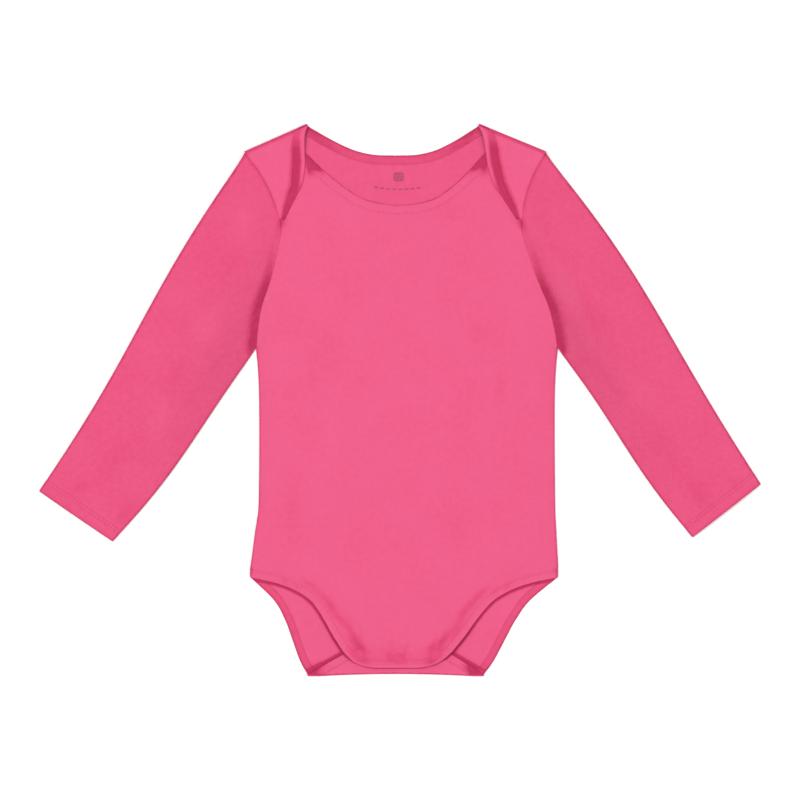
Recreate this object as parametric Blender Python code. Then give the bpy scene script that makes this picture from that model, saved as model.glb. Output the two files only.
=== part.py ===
"""Long-sleeved baby bodysuit with lapped (envelope) shoulders, laid out flat on its back.

The cloth is modelled as thin walls that lie on one another. The back panel rests on the surface.
At the shoulders it turns over its fold and comes down over the front as two laps, and at the
crotch it turns up as a tab that the front snaps onto. Tables and lengths are in millimetres,
and the meshes are written in metres. +Y points to the neck, +X to the right of someone looking
down on the front, +Z up. The origin is on the surface, under the middle of the garment.
"""

import math
from collections import namedtuple

import bmesh
import bpy
import numpy as np

METRES_PER_MM = 0.001

# Cloth and its layers
CLOTH = 1.0                      # thickness of one layer
LAYER_GAP = 0.5                  # air between two layers that lie on each other
SEAM_GAP = 0.3                   # air between two pieces that are sewn edge to edge
TAB_SEAM_GAP = 0.45              # the same where the seam slants over the crotch fold
SLEEVE_SEAM = 0.35               # how far a sleeve stands off the armhole line
SHOULDER_SLIDE = 1.1             # a sleeve's rolled edges start this many rolls along the armhole
UNDERARM_SLIDE = 2.7
LAYER_STEP = CLOTH + LAYER_GAP
BACK_LEVEL = CLOTH / 2           # height of the middle of the back panel's wall
FRONT_LEVEL = BACK_LEVEL + LAYER_STEP
SHOULDER_FOLD = LAYER_STEP       # radius at which the back turns over the front, as the laps
TAB_FOLD = LAYER_STEP / 2        # radius at which the back turns up on itself, as the tab

# How the upper layers lie
PUFF = 2.8                       # rise of the upper layer away from its edges
PUFF_REACH = 9.0                 # distance from an edge over which most of the rise is made
CUFF_PUFF = 0.35                 # share of the rise that is left at the open end of a sleeve
CUFF_REACH = 25.0
CROTCH_LIFT = 3.0                # rise of the front over the tab and the snaps
LIFT_START = -158.0
LIFT_END = -184.0
LAP_EASE = 0.25                  # extra air under the laps, away from the shoulder fold
LAP_BLEND = 30.0                 # distance over which a sleeve comes down from the lap's level
ROLL_LIFT = 0.2                  # how far a sleeve's rolled edges lie clear of the surface

# Bands and snaps
NECK_BAND = 7.0
LAP_BAND = 9.0
LAP_BAND_AT_TIP = 1.8
LEG_BAND = 6.0
SHOULDER_STRETCH = 1.15          # how askew a band lies where it crosses a fold
CROTCH_STRETCH = 1.5
HIP_STRETCH = 1.3
SNAP_RADIUS = 4.2
SNAP_CAP = 1.1
SNAP_SOCKET = 1.4
SNAP_ROUNDING = 0.35
SNAP_GAP = 0.3
SNAP_SIDES = 20

# Mesh density, in parts along each edge
NECK_PARTS = 12
SHOULDER_PARTS = 4
ACROSS_PARTS = NECK_PARTS + 2 * SHOULDER_PARTS
LEG_PARTS = 7
CORNER_PARTS = 3
SIDE_PARTS = 6
LOWER_ARMHOLE_PARTS = 6
UPPER_ARMHOLE_PARTS = 5
ARMHOLE_PARTS = LOWER_ARMHOLE_PARTS + UPPER_ARMHOLE_PARTS
TAB_PARTS = 4
SLEEVE_PARTS = 12
FOLD_PARTS = 3
FINE_PARTS = 240

# Outlines of the mirrored cut: each row is a height and the half width there.
Edge = namedtuple("Edge", "height half_width")

BACK_NECKLINE = (
    Edge(183.5, 0.0),
    Edge(184.1, 16.3),
    Edge(187.5, 30.7),
    Edge(194.2, 45.0),
    Edge(200.7, 56.1),
    Edge(205.6, 63.9),
)
FRONT_NECKLINE = (
    Edge(145.8, 0.0),
    Edge(146.9, 12.0),
    Edge(150.2, 25.4),
    Edge(156.4, 36.4),
    Edge(165.0, 47.3),
    Edge(173.5, 56.4),
    Edge(184.2, 66.5),
    Edge(196.5, 79.0),
)
LAP_EDGE = (
    Edge(205.6, 63.9),
    Edge(199.0, 66.8),
    Edge(187.0, 68.0),
    Edge(176.0, 68.6),
    Edge(162.0, 71.8),
    Edge(153.0, 77.0),
    Edge(145.0, 81.7),
    Edge(135.5, 87.0),
)
ARMHOLE = (
    Edge(39.0, 112.9),
    Edge(55.7, 110.5),
    Edge(71.0, 107.0),
    Edge(86.3, 101.2),
    Edge(103.5, 95.6),
    Edge(120.7, 91.4),
    Edge(132.2, 90.3),
    Edge(143.6, 92.5),
    Edge(157.0, 96.7),
    Edge(170.5, 103.2),
    Edge(184.9, 112.5),
)
SIDE = (
    Edge(-133.0, 115.4),
    Edge(-120.0, 115.0),
    Edge(-95.0, 112.8),
    Edge(-75.0, 111.3),
    Edge(0.0, 111.0),
    Edge(39.0, 112.9),
)
BACK_LEG = (
    Edge(-133.0, 115.4),
    Edge(-150.4, 96.0),
    Edge(-165.4, 86.3),
    Edge(-180.4, 79.5),
    Edge(-195.4, 72.8),
    Edge(-206.2, 66.2),
)
TAB_EDGE = (
    Edge(-206.2, 66.2),
    Edge(-198.0, 52.4),
    Edge(-190.8, 40.2),
    Edge(-184.0, 28.5),
    Edge(-180.0, 16.0),
)
FRONT_LEG = (
    Edge(-133.0, 115.4),
    Edge(-137.3, 95.8),
    Edge(-142.5, 81.4),
    Edge(-149.7, 69.5),
    Edge(-157.1, 62.7),
    Edge(-166.5, 56.0),
    Edge(-176.9, 49.2),
    Edge(-189.0, 40.3),
)
FRONT_CORNER = (
    Edge(-189.0, 40.3),
    Edge(-196.0, 32.4),
    Edge(-199.4, 24.0),
    Edge(-200.6, 16.0),
)
CROTCH_ARCH = 2.2                # how far the middle of the crotch fold lies above its corners

# The laid garment leans a little: how far its centre line is off the middle at each height.
Sway = namedtuple("Sway", "height shift")
SWAY = (
    Sway(-208.0, -3.4),
    Sway(-133.0, 3.0),
    Sway(-75.0, 5.2),
    Sway(40.0, 5.2),
    Sway(92.0, 3.0),
    Sway(132.0, 0.8),
    Sway(208.0, -5.4),
)

# Where each sleeve's two long edges end, how far they bow out, and how far they wave as well,
# out in the half beside the armhole and in beside the cuff.
SleeveEdge = namedtuple("SleeveEdge", "end_x end_y bow wave")
SLEEVES = {
    (-1, "outer"): SleeveEdge(-271.0, -68.5, 0.8, 2.4),
    (-1, "inner"): SleeveEdge(-216.0, -106.3, 3.6, -1.2),
    (1, "outer"): SleeveEdge(271.0, -63.3, 5.2, 2.2),
    (1, "inner"): SleeveEdge(219.7, -103.2, 1.4, -1.4),
}
SIDES = {"left": -1, "right": 1}

Snap = namedtuple("Snap", "place across height")
SNAPS = (
    Snap("left", -28.9, -190.9),
    Snap("middle", 0.9, -194.2),
    Snap("right", 28.9, -190.9),
)

PINK = (0.863, 0.120, 0.264)
SLEEVE_PINK = (0.830, 0.100, 0.230)
BAND_PINK = (0.760, 0.080, 0.190)
SNAP_PINK = (0.800, 0.110, 0.240)


# Curves in plan

def unit(vector):
    return np.asarray(vector, float) / np.linalg.norm(vector)


def sway(height):
    return np.interp(height, [row.height for row in SWAY], [row.shift for row in SWAY])


def laid(rows, side):
    """The rows of a mirrored outline as points, on one side of the leaning centre line."""
    return np.array([(side * row.half_width + sway(row.height), row.height) for row in rows])


def lengths_along(points):
    steps = np.linalg.norm(np.diff(points, axis=0), axis=1)
    return np.concatenate([[0.0], np.cumsum(steps)])


def resampled(points, parts):
    """The same line with parts + 1 points at equal steps."""
    along = lengths_along(points)
    wanted = np.linspace(0, along[-1], parts + 1)
    return np.stack([np.interp(wanted, along, column) for column in points.T], axis=1)


def smooth(points, parts):
    """A Catmull-Rom curve through the points, as parts + 1 points at equal steps."""
    control = np.vstack([2 * points[0] - points[1], points, 2 * points[-1] - points[-2]])
    t = np.linspace(0, 1, 24, endpoint=False)[:, None]
    runs = []
    for a, b, c, d in zip(control, control[1:], control[2:], control[3:]):
        straight = 2 * b + (c - a) * t
        bend = (2 * a - 5 * b + 4 * c - d) * t**2 + (3 * b - a - 3 * c + d) * t**3
        runs.append((straight + bend) / 2)
    return resampled(np.vstack(runs + [points[-1:]]), parts)


def line(start, end, parts):
    return resampled(np.array([start, end]), parts)


def joined(*curves):
    """Curves end to end, with each shared end point once."""
    return np.vstack([curves[0]] + [curve[1:] for curve in curves[1:]])


def inset(points, width, hand, start=None, end=None):
    """The curve moved to its left (hand 1) or right (hand -1) by width, which may vary along it.

    start and end give the way in which the two end points move for each unit of width.
    """
    along = np.gradient(points, axis=0)
    ways = hand * np.stack([-along[:, 1], along[:, 0]], axis=1)
    ways /= np.linalg.norm(ways, axis=1)[:, None]
    if start is not None:
        ways[0] = start
    if end is not None:
        ways[-1] = end
    return points + ways * np.broadcast_to(width, len(points))[:, None]


def patch(bottom, top, left, right):
    """The points of a four-sided sheet between its edges, as rows from bottom to top."""
    def share(first, second):
        first, second = lengths_along(first), lengths_along(second)
        return (first / first[-1] + second / second[-1]) / 2

    u = share(bottom, top)[None, :, None]
    v = share(left, right)[:, None, None]
    across = (1 - u) * left[:, None] + u * right[:, None]
    upward = (1 - v) * bottom[None] + v * top[None]
    low = (1 - u) * bottom[0] + u * bottom[-1]
    high = (1 - u) * top[0] + u * top[-1]
    return across + upward - (1 - v) * low - v * high


def distance_to(points, curves):
    """How far each point lies from the nearest of the curves."""
    nearest = np.full(points.shape[:-1], np.inf)
    for curve in curves:
        for start, end in zip(curve, curve[1:]):
            run = end - start
            along = np.clip(((points - start) @ run) / (run @ run), 0, 1)
            gap = np.linalg.norm(points - start - along[..., None] * run, axis=-1)
            nearest = np.minimum(nearest, gap)
    return nearest


def eased(value):
    value = np.clip(value, 0, 1)
    return value * value * (3 - 2 * value)


# Outlines that several pieces share

def shoulder_fold(side):
    """The ends of the shoulder fold: at the neck and at the sleeve."""
    return laid((BACK_NECKLINE[-1], ARMHOLE[-1]), side)


def along_shoulder(side):
    apex, point = shoulder_fold(side)
    return unit(point - apex)


def over_shoulder(side):
    run = along_shoulder(side)
    return side * np.array([-run[1], run[0]])


def armhole(side, away):
    """The armhole from the underarm to the shoulder, moved away from the body.

    One of its points is level with the tip of the lap.
    """
    fine = smooth(laid(ARMHOLE, side), FINE_PARTS)
    tip = int(np.argmin(np.abs(fine[:, 1] - LAP_EDGE[-1].height)))
    lower = resampled(fine[: tip + 1], LOWER_ARMHOLE_PARTS)
    upper = resampled(fine[tip:], UPPER_ARMHOLE_PARTS)
    return inset(joined(lower, upper), away, -side)


def side_seam(side, start):
    """The side seam from start, a point on it, up to the underarm."""
    fine = smooth(laid(SIDE, side), FINE_PARTS)
    above = fine[fine[:, 1] > start[1]]
    return resampled(np.vstack([start, above]), SIDE_PARTS)


def neck_curve():
    """The back neckline from the left shoulder fold to the right one."""
    half = NECK_PARTS // 2
    left = smooth(laid(BACK_NECKLINE, -1), half)
    right = smooth(laid(BACK_NECKLINE, 1), half)
    return joined(left[::-1], right)


def neck_seam(width):
    left, right = along_shoulder(-1), along_shoulder(1)
    return inset(neck_curve(), width, -1, left * SHOULDER_STRETCH, right * SHOULDER_STRETCH)


def lap_edge(side):
    """The lap's free edge, from the shoulder fold to the tip."""
    return smooth(laid(LAP_EDGE, side), UPPER_ARMHOLE_PARTS)


def lap_seam(side, gap):
    """The seam between the lap and its band, from the shoulder fold to the tip."""
    share = np.linspace(0, 1, UPPER_ARMHOLE_PARTS + 1)
    width = np.interp(share, (0, 0.2, 0.5, 1), (NECK_BAND, LAP_BAND, LAP_BAND, LAP_BAND_AT_TIP))
    start = along_shoulder(side) * SHOULDER_STRETCH
    return inset(lap_edge(side), width + gap, side, start, (side, 0))


def back_leg(side):
    return smooth(laid(BACK_LEG, side), LEG_PARTS)


def back_leg_seam(side, width):
    hip = np.array([0, HIP_STRETCH])
    fold = np.array([-side * CROTCH_STRETCH, 0])
    return inset(back_leg(side), width, -side, hip, fold)


def arched(start, end, parts):
    """The crotch fold, or a line beside it: nearly straight, higher in the middle."""
    points = line(start, end, parts)
    half = abs(TAB_EDGE[0].half_width)
    rise = CROTCH_ARCH * (1 - ((points[:, 0] - points[:, 0].mean()) / half) ** 2)
    low = CROTCH_ARCH * (1 - ((start[0] - points[:, 0].mean()) / half) ** 2)
    points[:, 1] += rise - low
    return points


def tab_edge():
    """Round the tab's free edge: from the left end of the crotch fold to the right one."""
    left = smooth(laid(TAB_EDGE, -1), TAB_PARTS)
    right = smooth(laid(TAB_EDGE, 1), TAB_PARTS)
    return joined(left, line(left[-1], right[-1], ACROSS_PARTS), right[::-1])


def tab_seam(width):
    return inset(tab_edge(), width, -1, (CROTCH_STRETCH, 0), (-CROTCH_STRETCH, 0))


def front_leg_edge():
    """Round the front's lower edge: left hip, leg opening, crotch, leg opening, right hip."""
    legs = {}
    for side in (-1, 1):
        leg = smooth(laid(FRONT_LEG, side), LEG_PARTS)
        legs[side] = joined(leg, smooth(laid(FRONT_CORNER, side), CORNER_PARTS))
    bottom = line(legs[-1][-1], legs[1][-1], ACROSS_PARTS)
    return joined(legs[-1], bottom, legs[1][::-1])


def front_leg_seam(width):
    return inset(front_leg_edge(), width, 1, (0, 1), (0, 1))


def front_neck():
    half = NECK_PARTS // 2
    left = smooth(laid(FRONT_NECKLINE, -1), half)
    right = smooth(laid(FRONT_NECKLINE, 1), half)
    return joined(left[::-1], right)


def front_neck_seam(width):
    left, right = along_shoulder(-1), along_shoulder(1)
    return inset(front_neck(), width, -1, left, right)


def sleeve_edge(side, which):
    """A long edge of a sleeve, from the armhole to the cuff."""
    row = SLEEVES[side, which]
    arm = armhole(side, 0)
    start, hand = (arm[-1], side) if which == "outer" else (arm[0], -side)
    points = line(start, np.array([row.end_x, row.end_y]), SLEEVE_PARTS)
    turn = np.linspace(0, math.pi, SLEEVE_PARTS + 1)
    return inset(points, row.bow * np.sin(turn) + row.wave * np.sin(2 * turn), hand)


# Heights

def edges_that_meet():
    """Every line along which the upper layer comes down to the one below."""
    edges = [front_neck(), front_leg_edge()]
    for side in SIDES.values():
        edges.append(sleeve_edge(side, "outer"))
        edges.append(sleeve_edge(side, "inner"))
        edges.append(laid(SIDE, side))
        edges.append(shoulder_fold(side))
    return edges


MEETING_EDGES = edges_that_meet()
CUFF_ENDS = [
    np.array([sleeve_edge(side, "outer")[-1], sleeve_edge(side, "inner")[-1]])
    for side in SIDES.values()
]


def front_height(points):
    """Height of the middle of the front panel's wall over each point."""
    rise = PUFF * (1 - np.exp(-distance_to(points, MEETING_EDGES) / PUFF_REACH))
    from_cuff = 1 - np.exp(-distance_to(points, CUFF_ENDS) / CUFF_REACH)
    rise *= CUFF_PUFF + (1 - CUFF_PUFF) * from_cuff
    lift = CROTCH_LIFT * eased((points[..., 1] - LIFT_START) / (LIFT_END - LIFT_START))
    return FRONT_LEVEL + np.maximum(rise, lift)


def lap_height(points):
    folds = [shoulder_fold(side) for side in (-1, 1)]
    ease = LAP_EASE * eased(distance_to(points, folds) / SHOULDER_FOLD)
    return front_height(points) + LAYER_STEP + ease


def sleeve_height(points, side):
    """Level with the lap beside it, and with the front elsewhere."""
    tip = LAP_EDGE[-1].height
    near = eased(1 - distance_to(points, [armhole(side, 0)]) / LAP_BLEND)
    beside_lap = eased((points[..., 1] - tip + LAP_BLEND) / LAP_BLEND)
    return front_height(points) + LAYER_STEP * near * beside_lap


def raised(points, height):
    heights = np.broadcast_to(np.asarray(height, float), points.shape[:-1])
    return np.concatenate([points, heights[..., None]], axis=-1)


def turned_over(points, way, radius):
    """Rows that carry a line of cloth round a fold, from the lower layer to the upper one."""
    rows = []
    for angle in np.linspace(0, math.pi, FOLD_PARTS + 1):
        out = radius * math.sin(angle)
        up = radius * (1 - math.cos(angle))
        rows.append(raised(points + out * np.asarray(way), BACK_LEVEL + up))
    return np.array(rows)


# Objects

def clear_scene():
    for item in list(bpy.data.objects):
        bpy.data.objects.remove(item, do_unlink=True)


def material(name, colour, roughness):
    made = bpy.data.materials.new(name)
    made.use_nodes = True
    shader = made.node_tree.nodes["Principled BSDF"]
    shader.inputs["Base Color"].default_value = (*colour, 1.0)
    shader.inputs["Roughness"].default_value = roughness
    shader.inputs["Metallic"].default_value = 0.0
    made.diffuse_color = (*colour, 1.0)
    return made


def cloth(name, grids, colour):
    """One piece of cloth: grids of mid-wall points, joined where they share points, thickened."""
    mesh = bmesh.new()
    for grid in grids:
        corners = [[mesh.verts.new(point * METRES_PER_MM) for point in row] for row in grid]
        for lower, upper in zip(corners, corners[1:]):
            for a, b, c, d in zip(lower, lower[1:], upper[1:], upper):
                mesh.faces.new((a, b, c, d))
    bmesh.ops.remove_doubles(mesh, verts=mesh.verts, dist=0.02 * METRES_PER_MM)
    bmesh.ops.recalc_face_normals(mesh, faces=mesh.faces)
    data = bpy.data.meshes.new(name)
    mesh.to_mesh(data)
    mesh.free()
    data.shade_smooth()
    piece = bpy.data.objects.new(name, data)
    bpy.context.scene.collection.objects.link(piece)
    data.materials.append(material(name, colour, 0.85))
    wall = piece.modifiers.new("Wall", "SOLIDIFY")
    wall.thickness = CLOTH * METRES_PER_MM
    wall.offset = 0.0
    wall.use_even_offset = True
    return piece


def back_panel():
    """The back, with the laps that come over the shoulders and the tab at the crotch."""
    neck = neck_seam(NECK_BAND + SEAM_GAP)
    edges, shoulders = {}, {}
    for side, neck_end in ((-1, neck[0]), (1, neck[-1])):
        leg = back_leg_seam(side, LEG_BAND + TAB_SEAM_GAP)[::-1]
        seam = side_seam(side, leg[-1])
        arm = armhole(side, -SEAM_GAP / 2)
        seam[-1] = arm[0]
        edges[side] = joined(leg, seam, arm)
        shoulders[side] = line(neck_end, arm[-1], SHOULDER_PARTS)
    crotch = arched(edges[-1][0], edges[1][0], ACROSS_PARTS)
    top = joined(shoulders[-1][::-1], neck, shoulders[1])
    grids = [raised(patch(crotch, top, edges[-1], edges[1]), BACK_LEVEL)]
    for side in (-1, 1):
        grids.append(turned_over(shoulders[side], over_shoulder(side), SHOULDER_FOLD))
        grids.append(lap_grid(side, shoulders[side]))
    grids.append(turned_over(crotch, (0, -1), TAB_FOLD))
    grids.append(tab_grid(crotch))
    return cloth("back_panel", grids, PINK)


def lap_grid(side, fold):
    """A lap, from the shoulder fold down to its tip at the armhole."""
    arm = armhole(side, -SEAM_GAP / 2)[LOWER_ARMHOLE_PARTS:][::-1]
    seam = lap_seam(side, SEAM_GAP)
    rows = [fold]
    for neck_end, arm_end in zip(seam[1:], arm[1:]):
        rows.append(line(neck_end, arm_end, SHOULDER_PARTS))
    rows = np.array(rows)
    return raised(rows, lap_height(rows))


def tab_grid(crotch):
    seam = tab_seam(LEG_BAND + TAB_SEAM_GAP)
    left = seam[: TAB_PARTS + 1]
    top = seam[TAB_PARTS : TAB_PARTS + ACROSS_PARTS + 1]
    right = seam[TAB_PARTS + ACROSS_PARTS :][::-1]
    left[0], right[0] = crotch[0], crotch[-1]
    return raised(patch(crotch, top, left, right), BACK_LEVEL + 2 * TAB_FOLD)


def front_panel():
    lower = front_leg_seam(LEG_BAND + SEAM_GAP)
    turn = LEG_PARTS + CORNER_PARTS
    legs = {-1: lower[: turn + 1][::-1], 1: lower[turn + ACROSS_PARTS :]}
    neck = front_neck_seam(NECK_BAND + SEAM_GAP)
    edges, shoulders = {}, {}
    for side, neck_end in ((-1, neck[0]), (1, neck[-1])):
        seam = side_seam(side, legs[side][-1])
        arm = armhole(side, -SEAM_GAP / 2)
        seam[-1] = arm[0]
        edges[side] = joined(legs[side], seam, arm)
        shoulders[side] = line(neck_end, arm[-1], SHOULDER_PARTS)
    bottom = lower[turn : turn + ACROSS_PARTS + 1]
    top = joined(shoulders[-1][::-1], neck, shoulders[1])
    points = patch(bottom, top, edges[-1], edges[1])
    return cloth("front_panel", [raised(points, front_height(points))], PINK)


def slid(curve, first, last):
    """The curve with its two end points slid inwards along it."""
    curve = curve.copy()
    curve[0] += unit(curve[1] - curve[0]) * first
    curve[-1] += unit(curve[-2] - curve[-1]) * last
    return curve


def rolled(start, end, way):
    """The points between two layers' edges, round the outside of the roll that joins them."""
    middle = (start + end) / 2
    half = (start - end) / 2
    out = np.array([*way, 0.0]) * TAB_FOLD
    angles = np.linspace(0, math.pi, FOLD_PARTS + 1)[1:-1]
    return np.array([middle + half * math.cos(a) + out * math.sin(a) for a in angles])


def sleeve(name):
    """A flattened tube, open at the armhole and at the cuff, as rings along the arm."""
    side = SIDES[name]
    roll = TAB_FOLD + CLOTH / 2
    outer = inset(sleeve_edge(side, "outer"), roll, -side)
    inner = inset(sleeve_edge(side, "inner"), roll, side)
    arm = armhole(side, SLEEVE_SEAM)[::-1]
    start = slid(arm, roll * SHOULDER_SLIDE, roll * UNDERARM_SLIDE)
    outer[0], inner[0] = start[0], start[-1]
    cuff = line(outer[-1], inner[-1], ARMHOLE_PARTS)
    points = patch(start, cuff, outer, inner)
    tops = raised(points, sleeve_height(points, side))
    bottoms = raised(points, BACK_LEVEL)
    bottoms[:, (0, -1), 2] += ROLL_LIFT
    rings = []
    for index, (top, bottom) in enumerate(zip(tops, bottoms)):
        ahead = min(index + 1, SLEEVE_PARTS)
        out = side_way(outer[ahead] - outer[ahead - 1], side)
        inward = side_way(inner[ahead] - inner[ahead - 1], -side)
        if index == 0:
            out, inward = unit(arm[0] - arm[1]), unit(arm[-1] - arm[-2])
        under = rolled(top[-1], bottom[-1], inward)
        over = rolled(bottom[0], top[0], out)
        rings.append(np.vstack([top, under, bottom[::-1], over, top[:1]]))
    return cloth(f"sleeve_{name}", [np.array(rings)], SLEEVE_PINK)


def side_way(run, hand):
    """The way to the left (hand 1) or right (hand -1) of a run."""
    return hand * unit((-run[1], run[0]))


def neck_band_back():
    """Along the back neckline and, over the shoulder folds, down the edges of both laps."""
    edge, seam = neck_curve(), neck_seam(NECK_BAND)
    free = [raised(edge, BACK_LEVEL)]
    sewn = [raised(seam, BACK_LEVEL)]
    for side, index in ((-1, 0), (1, -1)):
        ends = np.array([edge[index], seam[index]])
        turn = turned_over(ends, over_shoulder(side), SHOULDER_FOLD)
        lap_free, lap_sewn = lap_edge(side), lap_seam(side, 0)
        lap_sewn[0] = seam[index]
        lap_free = raised(lap_free, lap_height(lap_free))
        lap_sewn = raised(lap_sewn, lap_height(lap_sewn))
        run_free = np.vstack([turn[:-1, 0], lap_free])
        run_sewn = np.vstack([turn[:-1, 1], lap_sewn])
        if side < 0:
            free.insert(0, run_free[::-1])
            sewn.insert(0, run_sewn[::-1])
        else:
            free.append(run_free)
            sewn.append(run_sewn)
    return cloth("neck_band_back", [np.stack([joined(*free), joined(*sewn)])], BAND_PINK)


def neck_band_front():
    edge, seam = front_neck(), front_neck_seam(NECK_BAND)
    rows = [raised(edge, front_height(edge)), raised(seam, front_height(seam))]
    return cloth("neck_band_front", [np.array(rows)], BAND_PINK)


def leg_band_front():
    edge, seam = front_leg_edge(), front_leg_seam(LEG_BAND)
    rows = [raised(edge, front_height(edge)), raised(seam, front_height(seam))]
    return cloth("leg_band_front", [np.array(rows)], BAND_PINK)


def leg_band_back():
    """Down one back leg opening, over the crotch fold, round the tab and up the other."""
    tab_free, tab_sewn = tab_edge(), tab_seam(LEG_BAND)
    high = BACK_LEVEL + 2 * TAB_FOLD
    free, sewn = [], []
    for side in (-1, 1):
        edge, seam = back_leg(side), back_leg_seam(side, LEG_BAND)
        ends = np.array([edge[-1], seam[-1]])
        turn = turned_over(ends, (0, -1), TAB_FOLD)
        free.append(np.vstack([raised(edge, BACK_LEVEL), turn[1:, 0]]))
        sewn.append(np.vstack([raised(seam, BACK_LEVEL), turn[1:, 1]]))
    index = {-1: 0, 1: -1}
    for side in (-1, 1):
        tab_sewn[index[side]] = back_leg_seam(side, LEG_BAND)[-1]
    free = joined(free[0], raised(tab_free, high), free[1][::-1])
    sewn = joined(sewn[0], raised(tab_sewn, high), sewn[1][::-1])
    return cloth("leg_band_back", [np.stack([free, sewn])], BAND_PINK)


def disc(name, centre, height):
    """A snap's half: a short round piece with rounded rims."""
    bpy.ops.mesh.primitive_cylinder_add(
        vertices=SNAP_SIDES,
        radius=SNAP_RADIUS * METRES_PER_MM,
        depth=height * METRES_PER_MM,
        location=[value * METRES_PER_MM for value in centre],
    )
    piece = bpy.context.object
    piece.name = name
    piece.data.name = name
    rim = piece.modifiers.new("Rounded rims", "BEVEL")
    rim.width = SNAP_ROUNDING * METRES_PER_MM
    rim.segments = 1
    rim.limit_method = "ANGLE"
    piece.data.shade_smooth()
    piece.data.set_sharp_from_angle(angle=math.radians(50))
    piece.data.materials.append(material(name, SNAP_PINK, 0.45))
    return piece


def snaps():
    """Each snap's socket on the tab, under the front, and its cap on the front."""
    tab_top = BACK_LEVEL + 2 * TAB_FOLD + CLOTH / 2
    front_top = FRONT_LEVEL + CROTCH_LIFT + CLOTH / 2
    for snap in SNAPS:
        across = snap.across + sway(snap.height)
        socket = tab_top + SNAP_GAP + SNAP_SOCKET / 2
        cap = front_top + SNAP_GAP + SNAP_CAP / 2
        disc(f"snap_socket_{snap.place}", (across, snap.height, socket), SNAP_SOCKET)
        disc(f"snap_cap_{snap.place}", (across, snap.height, cap), SNAP_CAP)


def main():
    clear_scene()
    back_panel()
    front_panel()
    for name in SIDES:
        sleeve(name)
    neck_band_back()
    neck_band_front()
    leg_band_front()
    leg_band_back()
    snaps()


main()
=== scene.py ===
"""Looks of a long-sleeved baby bodysuit with lapped shoulders, laid out flat on a pale surface.

The cloth is cut from the same outlines as the fixed frame and lies in its layers. Tables and
working lengths are in millimetres; meshes, and the sizes in the sidebar, are in metres. +Y points
to the neck, +X to the right of someone looking down on the front, +Z up.
"""

import math
from collections import namedtuple

import bmesh
import bpy
import numpy as np
from bpy.props import FloatProperty, FloatVectorProperty, PointerProperty
from mathutils import Matrix, Vector


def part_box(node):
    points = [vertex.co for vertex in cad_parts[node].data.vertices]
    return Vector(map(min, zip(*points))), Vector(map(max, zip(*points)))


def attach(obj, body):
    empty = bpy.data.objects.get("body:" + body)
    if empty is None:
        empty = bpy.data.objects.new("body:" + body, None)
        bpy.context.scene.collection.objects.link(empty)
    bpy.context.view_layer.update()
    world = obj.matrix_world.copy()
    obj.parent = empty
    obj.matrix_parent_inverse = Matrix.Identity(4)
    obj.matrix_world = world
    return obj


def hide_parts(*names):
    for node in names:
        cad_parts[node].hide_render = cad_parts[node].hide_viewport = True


bl_info = {
    "name": "Baby Bodysuit",
    "version": (1, 0, 0),
    "blender": (4, 5, 0),
    "location": "3D View > Sidebar > Bodysuit",
    "description": "Cuts, lays out and finishes a long-sleeved baby bodysuit",
    "category": "Add Mesh",
}

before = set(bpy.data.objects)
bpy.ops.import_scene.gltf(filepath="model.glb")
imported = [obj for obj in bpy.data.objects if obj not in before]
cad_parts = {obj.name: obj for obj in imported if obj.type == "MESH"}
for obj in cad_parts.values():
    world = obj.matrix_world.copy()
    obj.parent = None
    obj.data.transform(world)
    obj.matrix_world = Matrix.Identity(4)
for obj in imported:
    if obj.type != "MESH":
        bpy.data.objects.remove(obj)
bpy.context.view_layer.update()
BODY = "root"
MM = 0.001

# Layers: where the middle of each wall lies above the surface, and the folds between them
BACK_LEVEL = 0.5
FRONT_LEVEL = 1.55  # at its edges
SHOULDER_FOLD = 1.5  # radius at which the back turns over the front, as the laps
TAB_FOLD = 0.75  # radius at which the back turns up on itself, as the tab
LAP_LEVEL = BACK_LEVEL + 2 * SHOULDER_FOLD
SEAM_GAP = 0.06  # between two pieces that are sewn to one another
SLEEVE_SEAM = 0.10
# How far a sleeve's end stops short of the two ends of its seam, in shares of its roll
SHOULDER_SLIDE = 0.2
UNDERARM_SLIDE = 2.7

# How the upper layers lie. A reach is the length over which a rise comes in or dies away.
PUFF = 2.8  # rise of the upper layer away from its edges
PUFF_REACH = 9.0
CUFF_PUFF = 0.55  # share of the rise that is left at the open end of a sleeve
CUFF_REACH = 25.0
CROTCH_LIFT = 3.0  # rise of the front towards the crotch, between two heights
LIFT_FROM = (-158.0, -184.0)
LAP_EASE = 0.25  # rise of a lap beside its fold
LAP_SETTLE = 1.2  # how far the laps settle onto the front away from their folds
SETTLE_REACH = 14.0
LAP_STEP = 1.0  # how much higher a sleeve lies beside a lap
LAP_STEP_REACH = 30.0
SHOULDER_STEP = 0.8  # and how much more beside the end of the shoulder fold
SHOULDER_REACH = 10.0
LAP_DROOP = 0.5  # how far a lap's free edge comes down onto the front
ROLL_LIFT = 0.2  # of the lower layer of a sleeve at its long edges
LEG_EDGE_LIFT = 0.6  # how far the front's leg band stands off the cloth below it
HIP_REACH = 25.0  # distance from the hips over which it comes to do so
ARM_ROLL = 0.75  # radius at which cloth turns down into an armhole seam
BAND_ROLL = 0.45  # the same beside a band
SIDE_ROLL = 0.9  # the same at the side seams, where front and back meet
SIDE_MARGIN = 0.4  # half the wall, which the turned side edge stands out
BACK_TURN = 0.12  # how far the back's side edges turn up
EDGE_ROUNDING = 0.55  # radius of a band's or a cuff's free edge
THIN_EDGE = 0.08  # share of the wall that is left at the very edge
EDGE_DROOP = 0.3  # how far a band's free edge comes down
BAND_CROWN = 0.22  # how far a band swells between its edge and its seam
CROWN_SHIFT = 0.7  # below 1, a band swells most nearer to its free edge
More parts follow.
